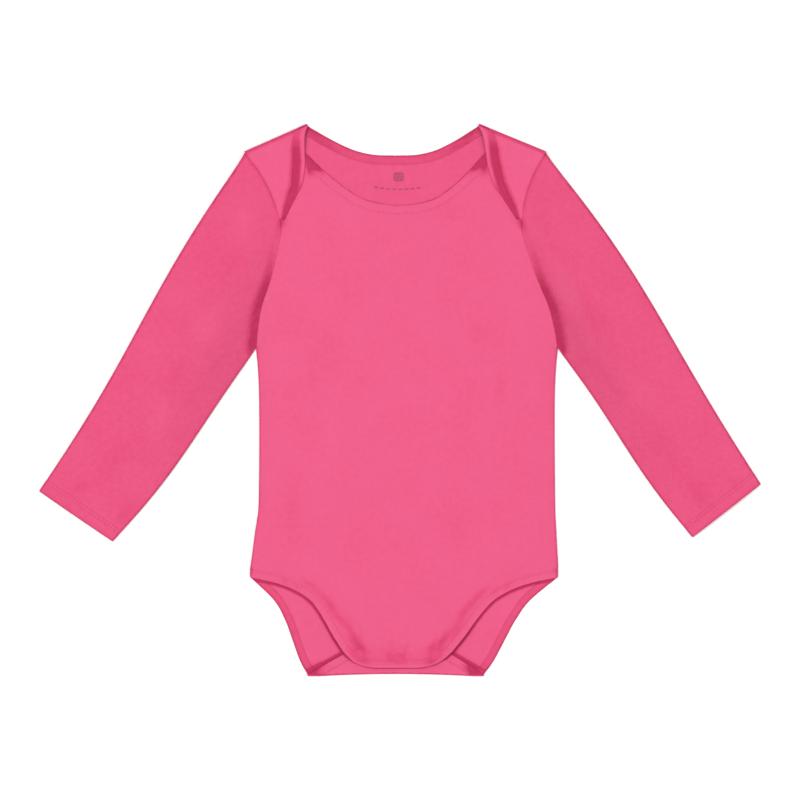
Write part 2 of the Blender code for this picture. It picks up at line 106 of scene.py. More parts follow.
CHANNEL_DEPTH = 0.85  # how deep the laps sink beside their rolled edges
CREASE_DEPTH = 1.15  # how deep the sleeves sink beside the lower armholes
LAP_RIDGE = 0.55  # height of the rolled edge of a lap

# Widths of the bands, and how much wider they are where they go on beyond an edge
NECK_BAND = 7.0
LEG_BAND = 6.0
LAP_BAND_SHARES = (0.0, 0.2, 0.5, 1.0)  # of the lap's edge, from the neck to its tip
LAP_BAND_WIDTHS = (NECK_BAND, 9.0, 9.0, 1.8)
SHOULDER_STRETCH = 1.15
CROTCH_STRETCH = 1.5
HIP_STRETCH = 1.3

# Walls, as shares of the cloth's thickness, and hems
PANEL_WALL = 0.8
SEAM_WALL = 0.5
HEM_DEPTH = 10.0
HEM_STEP = 0.8  # length over which the hem's second layer starts
ROLL_BLEND = 5.0  # length over which a sleeve's corners run into its edges
FOLD_EASE = 8.0  # length over which a band flattens towards a fold

# Stitches
HEM_STITCHES = (8.4, 10.8)  # rows of stitches, from the cuff's edge
HEM_ENDS = (2.2, 2.2)  # bare lengths at a row's ends
BAND_STITCH_OFF = 1.1  # from the band's seam
STITCH_ON_CROWN = 0.55  # share of a band's swelling at its row of stitches
LOOK_AHEAD = 0.25  # share of a step over which a stitch's way is measured
GRAIN_PARTS = (8, 6)  # sides and rings of a stitch
UNDER_LAP = 8  # parts of the front's neck seam that the laps hide
BESIDE_FOLD = 2  # parts of a seam beside a fold that have no stitches
THREAD_FLATNESS = 0.7
THREAD_SINK = 0.03

# Snaps
SNAP_PLACES = ("left", "middle", "right")
SNAP_SIDES = 40
SNAP_RIM_PARTS = 3
SNAP_ROUNDING = 0.16
SNAP_CREASE = 25  # degrees past which an edge is rounded
SNAP_SMOOTH = 50  # degrees past which an edge stays sharp
LOOKS_UP = 0.99  # least upward part of the normal of a face that looks up
Step = namedtuple("Step", "inwards up")  # how a snap's face is inset, and raised or sunk
CAP_HEIGHT = 0.55
CAP_STEPS = (Step(0.45, 0.3), Step(1.0, 0.05), Step(0.45, -0.35), Step(1.4, 0.12))
CAP_SINK = 0.3  # how far a cap presses into the cloth
SOCKET_HEIGHT = 0.9
SOCKET_STEPS = (Step(0.4, 0.2), Step(1.3, 0.0), Step(0.25, -0.75), Step(0.6, 0.0))

# The mark in the neck
MARK_BLOCK = (-1.0, 167.6)
MARK_BLOCK_SIZE = (8.0, 7.0, 2.0)  # width, height and the radius of its corners
MARK_ROW = 159.8
MARK_ROW_SAG = 1.6
MARK_ROW_SPAN = (-18.0, 14.0)
MARK_DASHES = 8
MARK_DASH_SIZE = (3.2, 1.3, 0.5)
MARK_CORNER_PARTS = 4
INK_THICKNESS = 0.12

# Tones, which say how shaded cloth is: 1 is as deep as a crease, and below zero is lighter than
# the open cloth. FROM gives the heights between which one comes in.
TONE_OF_FOLD = 0.22  # for each millimetre of a soft fold
CHANNEL_TONE = 1.15
CREASE_TONE = 0.95
LAP_LIGHT = -0.10
LAP_ROLL_TONE = -0.35
TAB_LIGHT = -0.05
SLEEVE_TONE = 0.17
NECK_BAND_TONE = 0.32
LEG_BAND_TONE = 0.28
LEG_ROLL_TONE = -0.30
LEG_ROLL_WIDTH = 1.6
INSIDE_TONE = 0.12  # of the inside of the back, in the neck opening
INSIDE_FROM = (135.0, 150.0)
CROTCH_TONE = 0.14  # of the front beside its lowest edge
CROTCH_FROM = (-178.0, -196.0)
RIM_TONE = 0.6  # where cloth turns away at the garment's outline
RIM_WIDTH = 1.2
ARM_SEAM_TONE = 0.5  # beside the armhole seams, above the laps' tips
ARM_SEAM_WIDTH = 1.1
ARM_SEAM_REACH = 12.0

# How the shade beside an edge above falls off: the distance is multiplied, and the offset added,
# against the shade beside a leg opening.
TAB_CONTACT = 0.8
BOTTOM_CONTACT_OFF = 1.5
BOTTOM_FROM = (-192.0, -199.0)
NECK_CONTACT = 2.2
NECK_CONTACT_OFF = 1.5
LAP_CONTACT = 2.6
LAP_CONTACT_OFF = 2.2

# Finishes. A NOISE is its scale and its detail. Four values in a row carry the range between the
# first two to the range between the last two.
WAVE_UNIT = math.pi / 10  # a wave texture's spacing, in metres, at a scale of 1
RIB_WOBBLE = 0.4
ROWS_TO_RIBS = 1.25  # spacing of the knit's rows, in that of its ribs
RIB_SHARE = 1.6  # height of the ribs, in that of the rows
KNIT_SHADE = 0.06
KNIT_DEPTH = 0.00012
BUMP_STRENGTH = 0.6
SOFT_SHADE = 0.3  # how shaded the softly shaded colour is
CONTACT = (1.3, 3.1, 1.3, 0.0)  # shade by the distance to an edge above
MOTTLE_NOISE = (260.0, 2.0)
MOTTLE = (0.35, 0.7, -0.03, 0.05)
DEPTH_MOTTLE = (0.35, 0.65, 0.93, 1.04)
BROAD_NOISE = (30.0, 1.0)
BROAD = (0.3, 0.7, -0.03, 0.05)
MIDDLE_OF_NOISE = (0.35, 0.65)
THREAD_NOISE = (1500.0, 2.0)
THREAD_DEPTH = 0.00005
RESIN_NOISE = (400.0, 2.0)
RESIN_SHADE = 0.12
RESIN_ROUGHNESS = (0.3, 0.7, 0.5, 0.62)
INK_NOISE = (1200.0, 3.0)
INK_WEAR = (0.35, 0.7, 0.0, 0.5)
BOARD_NOISE = (6.0, 2.0)
BOARD_GREY = 0.9
BOARD_UNEVENNESS = (0.3, 0.7, 0.0, 0.02)
EVEN_VALUES = {  # what is the same all over a finish, by the shader's sockets
    "pink_jersey": {
        "Roughness": 0.85, "Sheen Weight": 0.06, "Sheen Roughness": 0.5, "Specular IOR Level": 0.15
    },
    "sewing_thread": {"Roughness": 0.6, "Specular IOR Level": 0.3},
    "pink_resin": {"Specular IOR Level": 0.2},
    "neck_ink": {"Roughness": 0.7},
    "pale_floor": {"Roughness": 0.95, "Specular IOR Level": 0.0},
}

# Stage, in metres and watts
Lamp = namedtuple("Lamp", "name place size power")
LAMPS = (
    Lamp("key", (-1.1, 0.5, 2.3), 1.2, 32.0),
    Lamp("fill", (1.3, -0.5, 2.1), 1.4, 21.5),
)
ROOM_LIGHT = 0.6
FLOOR_DEPTH = 0.02
CAMERA_HEIGHT = 1.67
CAMERA_LENS = 100
CAMERA_SENSOR = 36

# Each piece's cut laid flat, in metres and square metres
Cut = namedtuple("Cut", "width length area")

# Mesh density, in parts along each edge
NECK_PARTS = 84
SHOULDER_PARTS = 28
ACROSS_PARTS = NECK_PARTS + 2 * SHOULDER_PARTS
LEG_PARTS = 44
CORNER_PARTS = 14
SIDE_PARTS = 80
LOWER_ARMHOLE_PARTS = 48
UPPER_ARMHOLE_PARTS = 34
ARMHOLE_PARTS = LOWER_ARMHOLE_PARTS + UPPER_ARMHOLE_PARTS
TAB_PARTS = 22
SLEEVE_PARTS = 130
FOLD_PARTS = 8
SIDE_EASE = 6  # parts over which the side's margin comes in
CURVE_STEPS = 40
CLOSE_STEPS = (0.12, 0.3, 0.55, 0.9, 1.4)  # where the rows lie beside an edge that turns in
ACROSS_BAND = np.array([  # where the rows lie across a band, from its free edge to its seam
    0, 0.014, 0.036, 0.064, 0.1, 0.16, 0.23, 0.3, 0.39, 0.48, 0.58, 0.68, 0.78, 0.87, 0.93, 0.965,
    0.985, 1,
])[:, None]
FINER = 6  # a curve that is cut to length is first drawn this much finer
THINNED = 3  # a distance is measured to every third point of a curve
RELAXED_ROWS = 26  # rows and columns over which the relaxing comes in
RELAXED_COLUMNS = 24
RELAXING_STEPS = 200
FAR = 99.0  # a distance that stands for none
SAME_POINT = 0.02  # points nearer than this are one


def table(kind, *rows):
    """Rows of one kind, from their plain values."""
    return [kind(*row) for row in rows]


# Outlines of the mirrored cut: each row is a height and the half width there.
Edge = namedtuple("Edge", "height half_width")
BACK_NECKLINE = table(
    Edge, (183.5, 0.0), (184.1, 16.3), (187.5, 30.7), (194.2, 45.0), (200.7, 56.1),
    (205.6, 63.9),
)
FRONT_NECKLINE = table(
    Edge, (145.8, 0.0), (146.9, 12.0), (150.2, 25.4), (156.4, 36.4), (165.0, 47.3),
    (173.5, 56.4), (184.2, 66.5), (196.5, 79.0),
)
LAP_EDGE = table(
    Edge, (205.6, 63.9), (199.0, 66.8), (187.0, 68.0), (176.0, 68.6), (162.0, 71.8),
    (153.0, 77.0), (145.0, 81.7), (135.5, 87.0),
)
ARMHOLE = table(
    Edge, (39.0, 112.9), (55.7, 110.5), (71.0, 107.0), (86.3, 101.2), (103.5, 95.6),
    (120.7, 91.4), (132.2, 90.3), (143.6, 92.5), (157.0, 96.7), (170.5, 103.2), (184.9, 112.5),
)
SIDE = table(
    Edge, (-133.0, 115.4), (-120.0, 115.0), (-95.0, 112.8), (-75.0, 111.3), (0.0, 111.0),
    (39.0, 112.9),
)
BACK_LEG = table(
    Edge, (-133.0, 115.4), (-150.4, 96.0), (-165.4, 86.3), (-180.4, 79.5), (-195.4, 72.8),
    (-206.2, 66.2),
)
TAB_EDGE = table(
    Edge, (-206.2, 66.2), (-198.0, 52.4), (-190.8, 40.2), (-184.0, 28.5), (-180.0, 16.0),
)
FRONT_LEG = table(
    Edge, (-133.0, 115.4), (-137.3, 95.8), (-142.5, 81.4), (-149.7, 69.5), (-157.1, 62.7),
    (-166.5, 56.0), (-176.9, 49.2), (-189.0, 40.3),
)
FRONT_CORNER = table(
    Edge, (-189.0, 40.3), (-196.0, 32.4), (-199.4, 24.0), (-200.6, 16.0),
)
CROTCH_ARCH = 2.2

# The laid garment leans a little: how far its centre line is off the middle at each height.
Sway = namedtuple("Sway", "height shift")
SWAY = table(
    Sway, (-208.0, -3.4), (-133.0, 3.0), (-75.0, 5.2), (40.0, 5.2), (92.0, 3.0), (132.0, 0.8),
    (208.0, -5.4),
)

SleeveEdge = namedtuple("SleeveEdge", "end_x end_y bow wave")
SLEEVES = {
    (-1, "outer"): SleeveEdge(-271.0, -68.5, 0.8, 2.4),
    (-1, "inner"): SleeveEdge(-216.0, -106.3, 3.6, -1.2),
    (1, "outer"): SleeveEdge(271.0, -63.3, 5.2, 2.2),
    (1, "inner"): SleeveEdge(219.7, -103.2, 1.4, -1.4),
}
SIDES = {"left": -1, "right": 1}
BOTH = tuple(SIDES.values())
FIRST_AND_LAST = (0, -1)  # the left and right ends of a line that runs from left to right
DOWN = np.array([0.0, -1.0])

# Sunk strips that run beside a curve: at each share of the curve's length, how far off the curve
# the strip's middle lies, its half width and how deep it is, from 0 to 1.
Strip = namedtuple("Strip", "share off half_width depth")
STRIP_SHOULDERS = 3  # how square a strip's sides are
LAP_CHANNEL = table(
    Strip,
    (0.00, 5.8, 2.8, 0.20),
    (0.14, 6.0, 3.4, 0.42),
    (0.24, 6.2, 4.2, 0.95),
    (0.45, 6.3, 4.4, 1.00),
    (0.58, 5.4, 4.6, 1.00),
    (0.68, 3.9, 4.7, 1.00),
    (0.78, 3.0, 4.2, 1.00),
    (0.90, 2.2, 3.2, 1.00),
    (1.00, 1.0, 1.9, 0.90),
)
LAP_ROLL = table(
    Strip,
    (0.00, 1.5, 1.7, 0.0),
    (0.08, 1.4, 1.6, 0.9),
    (0.15, 1.4, 1.6, 1.0),
    (0.58, 1.4, 1.5, 1.0),
    (0.68, 1.2, 1.4, 0.0),
    (1.00, 1.2, 1.4, 0.0),
)
UNDERARM_CREASE = table(
    Strip,
    (0.00, 2.2, 5.0, 0.95),
    (0.10, 2.4, 5.2, 0.80),
    (0.20, 2.4, 5.0, 0.84),
    (0.28, 1.8, 4.8, 0.92),
    (0.34, 2.2, 4.2, 0.70),
    (0.40, 3.4, 3.2, 0.38),
    (0.46, 4.4, 2.6, 0.18),
    (0.56, 4.6, 2.4, 0.00),
    (1.00, 4.6, 2.0, 0.00),
)

# Soft folds: the middle, the way it runs in degrees from +X, its length and width, and its
# height, which is below zero for a trough.
Fold = namedtuple("Fold", "x y angle length width height")
FRONT_FOLDS = table(
    Fold,
    (4.0, 18.0, 84, 34.0, 13.0, 0.45),
    (-52.0, -30.0, 91, 44.0, 5.0, 0.55),
    (66.0, -15.0, 88, 56.0, 5.0, 0.50),
    (-22.0, -4.0, 92, 30.0, 6.0, 0.35),
    (34.0, 0.0, 88, 62.0, 6.5, 0.40),
    (-63.0, -8.0, 93, 46.0, 5.0, 0.30),
    (75.0, 11.0, 86, 30.0, 5.5, -0.55),
    (-65.0, 12.0, 94, 34.0, 4.5, -0.40),
    (-50.0, 41.0, 60, 30.0, 11.0, -0.30),
    (60.0, 48.0, 118, 34.0, 12.0, -0.30),
    (19.0, 56.0, 90, 60.0, 9.0, 0.30),
    (-80.0, -83.0, 88, 40.0, 6.0, -0.40),
    (96.0, -64.0, 88, 36.0, 5.0, 0.35),
    (-62.0, -53.0, 91, 30.0, 5.5, 0.30),
    (19.0, -124.0, 90, 24.0, 5.0, 0.35),
    (-25.0, -95.0, 84, 60.0, 12.0, -0.25),
    (44.0, -105.0, 97, 52.0, 12.0, -0.25),
    (-92.0, 20.0, 96, 80.0, 6.0, 0.30),
    (100.0, 12.0, 84, 60.0, 6.0, 0.30),
    (-60.0, -132.0, -24, 34.0, 7.0, 0.30),
    (66.0, -128.0, 26, 36.0, 7.0, 0.30),
    (-48.0, -158.0, -58, 30.0, 3.2, -0.35),
    (50.0, -160.0, 56, 32.0, 3.2, -0.35),
    (-37.0, -181.0, -66, 14.0, 2.4, -0.75),
    (-29.5, -178.0, -82, 12.0, 2.2, -0.45),
    (33.0, -180.0, 62, 14.0, 2.4, -0.75),
    (26.5, -177.5, 84, 12.0, 2.2, -0.45),
    (-6.0, -186.0, 92, 10.0, 2.4, -0.35),
    (4.0, -187.0, 86, 11.0, 2.4, -0.35),
    (38.0, 140.0, 20, 26.0, 6.0, -0.30),
    (-40.0, 140.0, -24, 26.0, 6.0, 0.25),
)
SLEEVE_FOLDS = {
    -1: table(
        Fold,
        (-146.0, 52.0, 62, 60.0, 8.0, 0.50),
        (-168.0, 20.0, 55, 52.0, 7.0, -0.45),
        (-180.0, -10.0, 78, 46.0, 6.0, 0.40),
        (-214.0, -44.0, 50, 44.0, 8.0, -0.40),
        (-128.0, 96.0, 70, 44.0, 9.0, -0.35),
        (-118.0, 130.0, 64, 34.0, 7.0, 0.35),
        (-206.0, -86.0, 40, 16.0, 4.0, -0.70),
        (-240.0, -66.0, 20, 16.0, 4.0, -0.50),
    ),
    1: table(
        Fold,
        (126.0, 80.0, 116, 56.0, 6.0, 0.55),
        (150.0, 60.0, 122, 60.0, 8.0, -0.40),
        (178.0, 10.0, 128, 52.0, 7.0, 0.40),
        (200.0, -40.0, 126, 50.0, 8.0, -0.45),
        (118.0, 136.0, 118, 38.0, 7.0, 0.30),
        (226.0, -72.0, 132, 22.0, 7.0, -0.65),
        (250.0, -62.0, 150, 14.0, 4.0, -0.40),
    ),
}
# Painted light and shade only: the back lies flat under these folds, which lighten its colour
# along ridges and darken it along troughs, inside the leg openings and the neck
PAINTED_BACK_FOLDS = table(
    Fold,
    (-78.0, -166.0, 112, 34.0, 4.0, 0.16),
    (-66.0, -176.0, 106, 34.0, 3.5, -0.14),
    (77.0, -168.0, 66, 34.0, 4.0, 0.16),
    (66.0, -178.0, 72, 30.0, 3.5, -0.14),
    (-30.0, 168.0, 160, 26.0, 5.0, 0.12),
    (24.0, 172.0, 20, 30.0, 5.0, 0.12),
)

# Places that lie in the shade of their neighbours: the middle, the way, the length and width,
# and how deep the shade is.
Shade = namedtuple("Shade", "x y angle length width depth")
NECK_NOOKS = table(
    Shade,
    (-65.0, 178.4, -49, 14.0, 2.6, 3.2),
    (-67.6, 178.0, -80, 12.0, 3.0, 1.4),
    (-68.0, 171.5, 96, 8.0, 2.2, 0.5),
    (59.6, 178.6, 50, 14.0, 2.6, 2.8),
    (63.2, 178.6, 80, 12.0, 2.8, 1.4),
    (64.0, 171.5, 84, 8.0, 2.2, 0.5),
)
APEX_SHADES = table(
    Shade,
    (-63.0, 200.0, -30, 20.0, 3.0, 0.55),
    (-57.0, 192.0, -25, 22.0, 2.0, 0.35),
    (52.0, 199.5, 32, 20.0, 3.0, 0.55),
    (47.0, 192.0, 25, 22.0, 2.0, 0.35),
)
PUCKER_SHADES = table(
    Shade,
    (-31.8, -190.9, 0, 13.0, 6.5, 0.28),
    (26.0, -190.9, 0, 13.0, 6.5, 0.28),
    (-2.0, -194.2, 0, 13.0, 6.5, 0.12),
    (-33.4, -180.2, -66, 14.0, 2.6, 0.50),
    (-28.0, -185.5, -52, 9.0, 2.4, 0.35),
    (31.4, -181.0, 60, 14.0, 2.8, 0.45),
    (24.0, -184.5, 54, 9.0, 2.4, 0.35),
    (-67.9, -138.0, -26, 13.0, 2.6, 0.22),
    (-59.6, -145.9, -40, 15.0, 2.4, 0.20),
    (-52.1, -154.9, -56, 13.0, 2.8, 0.34),
    (-46.5, -163.5, -52, 11.0, 2.2, 0.22),
    (-39.5, -168.5, -58, 12.0, 3.4, 0.24),
    (61.0, -144.6, 38, 14.0, 2.6, 0.26),
    (54.8, -151.4, 46, 13.0, 2.6, 0.28),
    (47.0, -159.6, 60, 13.0, 3.0, 0.30),
    (40.2, -173.4, 54, 15.0, 3.6, 0.30),
    (22.4, -196.6, 18, 9.0, 2.2, 0.40),
    (-8.6, -191.6, 96, 9.0, 2.0, 0.20),
    (3.6, -191.2, 84, 9.0, 2.0, 0.16),
    (-27.0, -196.0, -24, 8.0, 2.0, 0.30),
    (-86.0, -137.0, -62, 9.0, 1.8, 0.24),
    (-77.5, -141.5, -58, 9.0, 1.8, 0.20),
    (80.5, -139.5, 60, 9.0, 1.8, 0.24),
    (71.5, -143.5, 56, 9.0, 1.8, 0.20),
)
LAP_TIP_SHADES = table(
    Shade,
    (-88.6, 133.2, 72, 10.0, 2.6, 0.75),
    (90.8, 132.6, 108, 10.0, 2.6, 0.75),
)
FOLD_CORNER_SHADES = table(
    Shade,
    (-66.0, -204.0, 34, 16.0, 3.2, 1.5),
    (57.0, -204.0, -34, 16.0, 3.4, 2.2),
)


# Curves in plan

def unit(vector):
    return np.asarray(vector, float) / np.linalg.norm(vector)


def eased(value):
    value = np.clip(value, 0, 1)
    return value * value * (3 - 2 * value)


def read_off(rows, given, at, wanted):
    """A column of a table at places between its rows, which another column gives."""
    heads, values = ([getattr(row, field) for row in rows] for field in (given, wanted))
    return np.interp(at, heads, values)


def sway(height):
    return read_off(SWAY, "height", height, "shift")


def laid(rows, side):
    """The rows of a mirrored outline as points, on one side of the leaning centre line."""
    return np.array([(side * row.half_width + sway(row.height), row.height) for row in rows])


def lengths_along(points):
    steps = np.linalg.norm(np.diff(points, axis=0), axis=1)
    return np.concatenate([[0.0], np.cumsum(steps)])


def at_lengths(points, wanted):
    """The places at the wanted lengths along a line."""
    along = lengths_along(points)
    return np.stack([np.interp(wanted, along, column) for column in points.T], axis=-1)


def stations(length, parts, close_start=False, close_end=False):
    """Shares of a length at parts + 1 places, closer together beside the ends that turn in."""
    start = [0.0, *CLOSE_STEPS] if close_start else [0.0]
    end = [0.0, *CLOSE_STEPS] if close_end else [0.0]
    middle = np.linspace(start[-1], length - end[-1], parts + 3 - len(start) - len(end))
    return np.concatenate([start[:-1], middle, length - np.array(end[:-1][::-1])]) / length


def resampled(points, parts, close_start=False, close_end=False):
    """The same line with parts + 1 points."""
    length = lengths_along(points)[-1]
    return at_lengths(points, length * stations(length, parts, close_start, close_end))


def smooth(points, parts, close_start=False, close_end=False):
    """A Catmull-Rom curve through the points, as parts + 1 points."""
    control = np.vstack([2 * points[0] - points[1], points, 2 * points[-1] - points[-2]])
    t = np.linspace(0, 1, CURVE_STEPS, endpoint=False)[:, None]
    runs = []
    for a, b, c, d in zip(control, control[1:], control[2:], control[3:]):
        straight = 2 * b + (c - a) * t
        bend = (2 * a - 5 * b + 4 * c - d) * t**2 + (3 * b - a - 3 * c + d) * t**3
        runs.append((straight + bend) / 2)
    return resampled(np.vstack(runs + [points[-1:]]), parts, close_start, close_end)


def line(start, end, parts, close_start=False, close_end=False):
    return resampled(np.array([start, end]), parts, close_start, close_end)


def joined(*curves):
    """Curves end to end, with each shared end point once."""
    return np.vstack([curves[0]] + [curve[1:] for curve in curves[1:]])


def both_sides(rows, parts):
    """A mirrored outline from its left end, over the middle, to its right end."""
    left, right = (smooth(laid(rows, side), parts) for side in BOTH)
    return joined(left[::-1], right)


def sideways(points, hand):
    """The way to the left (hand 1) or right (hand -1) at each point of a line."""
    along = np.gradient(points, axis=0)
    ways = hand * np.stack([-along[:, 1], along[:, 0]], axis=1)
    return ways / np.linalg.norm(ways, axis=1)[:, None]


def inset(points, width, hand, start=None, end=None):
    """The curve moved to its left (hand 1) or right (hand -1) by width, which may vary along it.

    start and end give the way in which the two end points move for each unit of width.
    """
    ways = sideways(points, hand)
    if start is not None:
        ways[0] = start
    if end is not None:
        ways[-1] = end
    moved = points + ways * np.broadcast_to(width, len(points))[:, None]
    return without_steps_back(moved, points)


def without_steps_back(moved, points):
    """The moved curve, drawn straight wherever it would double back on itself."""
    runs = np.diff(points, axis=0)
    last = len(points) - 1
    kept = [0]
    for index in range(1, last):
        if (moved[index] - moved[kept[-1]]) @ runs[index - 1] > 0:
            kept.append(index)
    while len(kept) > 1 and (moved[last] - moved[kept[-1]]) @ runs[-1] <= 0:
        kept.pop()
    kept.append(last)
    return np.stack([np.interp(range(last + 1), kept, column[kept]) for column in moved.T], axis=1)


def beyond_fold(seam, way, close_start=False):
    """The seam from its start on a fold, without the points that overshoot the fold."""
    inside = (seam - seam[0]) @ way < -SAME_POINT
    return resampled(np.vstack([seam[:1], seam[inside]]), len(seam) - 1, close_start)


def shares_along(curve):
    along = lengths_along(curve)
    return along / along[-1]


def patch(bottom, top, left, right):
    """The points of a four-sided sheet between its edges, as rows from bottom to top."""
    u = shares_along(top)[None, :, None]
    v = ((shares_along(left) + shares_along(right)) / 2)[:, None, None]
    across = (1 - u) * left[:, None] + u * right[:, None]
    upward = (1 - v) * bottom[None] + v * top[None]
    low = (1 - u) * bottom[0] + u * bottom[-1]
    high = (1 - u) * top[0] + u * top[-1]
    return across + upward - (1 - v) * low - v * high


def relaxed(points, corner):
    """The sheet with its rows spaced evenly inside, where its edges' corner would kink them."""
    rows, columns = (np.arange(count) for count in points.shape[:2])
    from_ends = eased(1 - np.abs(rows - corner) / RELAXED_ROWS)
    from_sides = eased(np.minimum(columns, columns[::-1]) / RELAXED_COLUMNS)
    share = (from_ends[:, None] * from_sides)[1:-1, :, None] / 2
    points = points.copy()
    for _ in range(RELAXING_STEPS):
        points[1:-1] += share * ((points[:-2] + points[2:]) / 2 - points[1:-1])
    return points


def nearest(points, curve):
    """How far each point lies from the curve (above zero on its left) and at what share of it."""
    along = lengths_along(curve)
    gap = np.full(points.shape[:-1], np.inf)
    place = np.zeros(points.shape[:-1])
    left = np.zeros(points.shape[:-1])
    for start, end, low, high in zip(curve, curve[1:], along, along[1:]):
        run = end - start
        off = points - start
        share = np.clip((off @ run) / (run @ run), 0, 1)
        far = np.linalg.norm(off - share[..., None] * run, axis=-1)
        closer = far < gap
        gap = np.where(closer, far, gap)
        place = np.where(closer, low + share * (high - low), place)
        left = np.where(closer, run[0] * off[..., 1] - run[1] * off[..., 0], left)
    return np.where(left < 0, -gap, gap), place / along[-1]


def distance_to(points, curves):
    """How far each point lies from the nearest of the curves."""
    return np.min([np.abs(nearest(points, curve)[0]) for curve in curves], axis=0)


def thinned(curve):
    """The curve with fewer points, for measuring distances to it."""
    return np.vstack([curve[:-1:THINNED], curve[-1:]])


def away_from(points, lines, reach):
    """0 on the lines, rising to 1 at a reach from them."""
    return eased(distance_to(points, lines) / reach)


def fading_from(points, lines, reach):
    """1 on the lines, and less and less away from them."""
    return np.exp(-distance_to(points, lines) / reach)


def beside(points, lines, width):
    """1 on the lines, and next to nothing at two widths from them."""
    return np.exp(-((distance_to(points, lines) / width) ** 2))


def coming_in(points, heights):
    """0 at the first of two heights, rising to 1 at the second."""
    start, end = heights
    return eased((points[..., 1] - start) / (end - start))


# Outlines that several pieces share

def shoulder_fold(side):
    """The ends of the shoulder fold: at the neck and at the sleeve."""
    return laid((BACK_NECKLINE[-1], ARMHOLE[-1]), side)


def along_shoulder(side):
    apex, point = shoulder_fold(side)
    return unit(point - apex)


def over_shoulder(side):
    run = along_shoulder(side)
    return side * np.array([-run[1], run[0]])


def armhole(side, away):
    """The armhole from the underarm to the shoulder, moved away from the body.

    One of its points is level with the tip of the lap.
    """
    fine = smooth(laid(ARMHOLE, side), FINER * ARMHOLE_PARTS)
    tip = int(np.argmin(np.abs(fine[:, 1] - LAP_EDGE[-1].height)))
    lower = resampled(fine[: tip + 1], LOWER_ARMHOLE_PARTS)
    upper = resampled(fine[tip:], UPPER_ARMHOLE_PARTS, close_end=True)
    return inset(joined(lower, upper), away, -side)


def side_seam(side, start):
    """The side seam from start, a point on it, up to the underarm, in from the turned edge."""
    fine = smooth(laid(SIDE, side), FINER * SIDE_PARTS)
    above = fine[fine[:, 1] > start[1]]
    seam = resampled(np.vstack([start, above]), SIDE_PARTS)
    from_end = np.minimum(np.arange(SIDE_PARTS + 1), np.arange(SIDE_PARTS, -1, -1))
    return inset(seam, SIDE_MARGIN * eased(from_end / SIDE_EASE), side)


def neck_curve():
    """The back neckline from the left shoulder fold to the right one."""
    return both_sides(BACK_NECKLINE, NECK_PARTS // 2)


def neck_seam(width):
    left, right = along_shoulder(-1), along_shoulder(1)
    return inset(neck_curve(), width, -1, left * SHOULDER_STRETCH, right * SHOULDER_STRETCH)


def lap_edge(side):
    """The lap's free edge, from the shoulder fold to the tip."""
    return smooth(laid(LAP_EDGE, side), UPPER_ARMHOLE_PARTS, close_start=True)


def lap_seam(side, gap):
    """The seam between the lap and its band, from the shoulder fold to the tip."""
    edge = lap_edge(side)
    width = np.interp(shares_along(edge), LAP_BAND_SHARES, LAP_BAND_WIDTHS)
    start = along_shoulder(side) * SHOULDER_STRETCH
    seam = inset(edge, width + gap, side, start, (side, 0))
    return beyond_fold(seam, over_shoulder(side), True)


def back_leg(side):
    return smooth(laid(BACK_LEG, side), LEG_PARTS)


def back_leg_seam(side, width):
    hip = np.array([0, HIP_STRETCH])
    fold = np.array([-side * CROTCH_STRETCH, 0])
    return inset(back_leg(side), width, -side, hip, fold)


def arched(start, end, parts):
    """The crotch fold, or a line beside it: nearly straight, higher in the middle."""
    points = line(start, end, parts, True, True)
    half = TAB_EDGE[0].half_width
    middle = (start[0] + end[0]) / 2
    rise = CROTCH_ARCH * (1 - ((points[:, 0] - middle) / half) ** 2)
    low = CROTCH_ARCH * (1 - ((start[0] - middle) / half) ** 2)
    points[:, 1] += rise - low
    return points


def tab_edge():
    """Round the tab's free edge: from the left end of the crotch fold to the right one."""
    left, right = (smooth(laid(TAB_EDGE, side), TAB_PARTS) for side in BOTH)
    return joined(left, line(left[-1], right[-1], ACROSS_PARTS), right[::-1])


def tab_seam(width):
    seam = inset(tab_edge(), width, -1, (CROTCH_STRETCH, 0), (-CROTCH_STRETCH, 0))
    left = beyond_fold(seam[: TAB_PARTS + 1], DOWN)
    right = beyond_fold(seam[: -TAB_PARTS - 2 : -1], DOWN)
    return joined(left, seam[TAB_PARTS:-TAB_PARTS], right[::-1])


def front_leg_edge():
    """Round the front's lower edge: left hip, leg opening, crotch, leg opening, right hip."""
    legs = {}
    for side in BOTH:
        leg = smooth(laid(FRONT_LEG, side), LEG_PARTS)
        corner = smooth(laid(FRONT_CORNER, side), CORNER_PARTS, close_end=True)
        legs[side] = joined(leg, corner)
    bottom = line(legs[-1][-1], legs[1][-1], ACROSS_PARTS, True, True)
    return joined(legs[-1], bottom, legs[1][::-1])


def front_leg_seam(width):
    return inset(front_leg_edge(), width, 1, (0, 1), (0, 1))


def front_neck():
    return both_sides(FRONT_NECKLINE, NECK_PARTS // 2)


def front_neck_seam(width):
    left, right = along_shoulder(-1), along_shoulder(1)
    return inset(front_neck(), width, -1, left, right)


def sleeve_edge(side, which):
    """A long edge of a sleeve, from the armhole to the cuff."""
    row = SLEEVES[side, which]
    arm = armhole(side, 0)
    start, hand = (arm[-1], side) if which == "outer" else (arm[0], -side)
    points = line(start, np.array([row.end_x, row.end_y]), SLEEVE_PARTS, True, True)
    turn = math.pi * shares_along(points)
    return inset(points, row.bow * np.sin(turn) + row.wave * np.sin(2 * turn), hand)


def sleeve_edges(side):
    return [sleeve_edge(side, which) for which in ("outer", "inner")]


def edges_beside(side):
    """The lines along which the garment ends on one side, above the hip."""
    edges = [*sleeve_edges(side), smooth(laid(SIDE, side), SIDE_PARTS), shoulder_fold(side)]
    return [thinned(edge) for edge in edges]


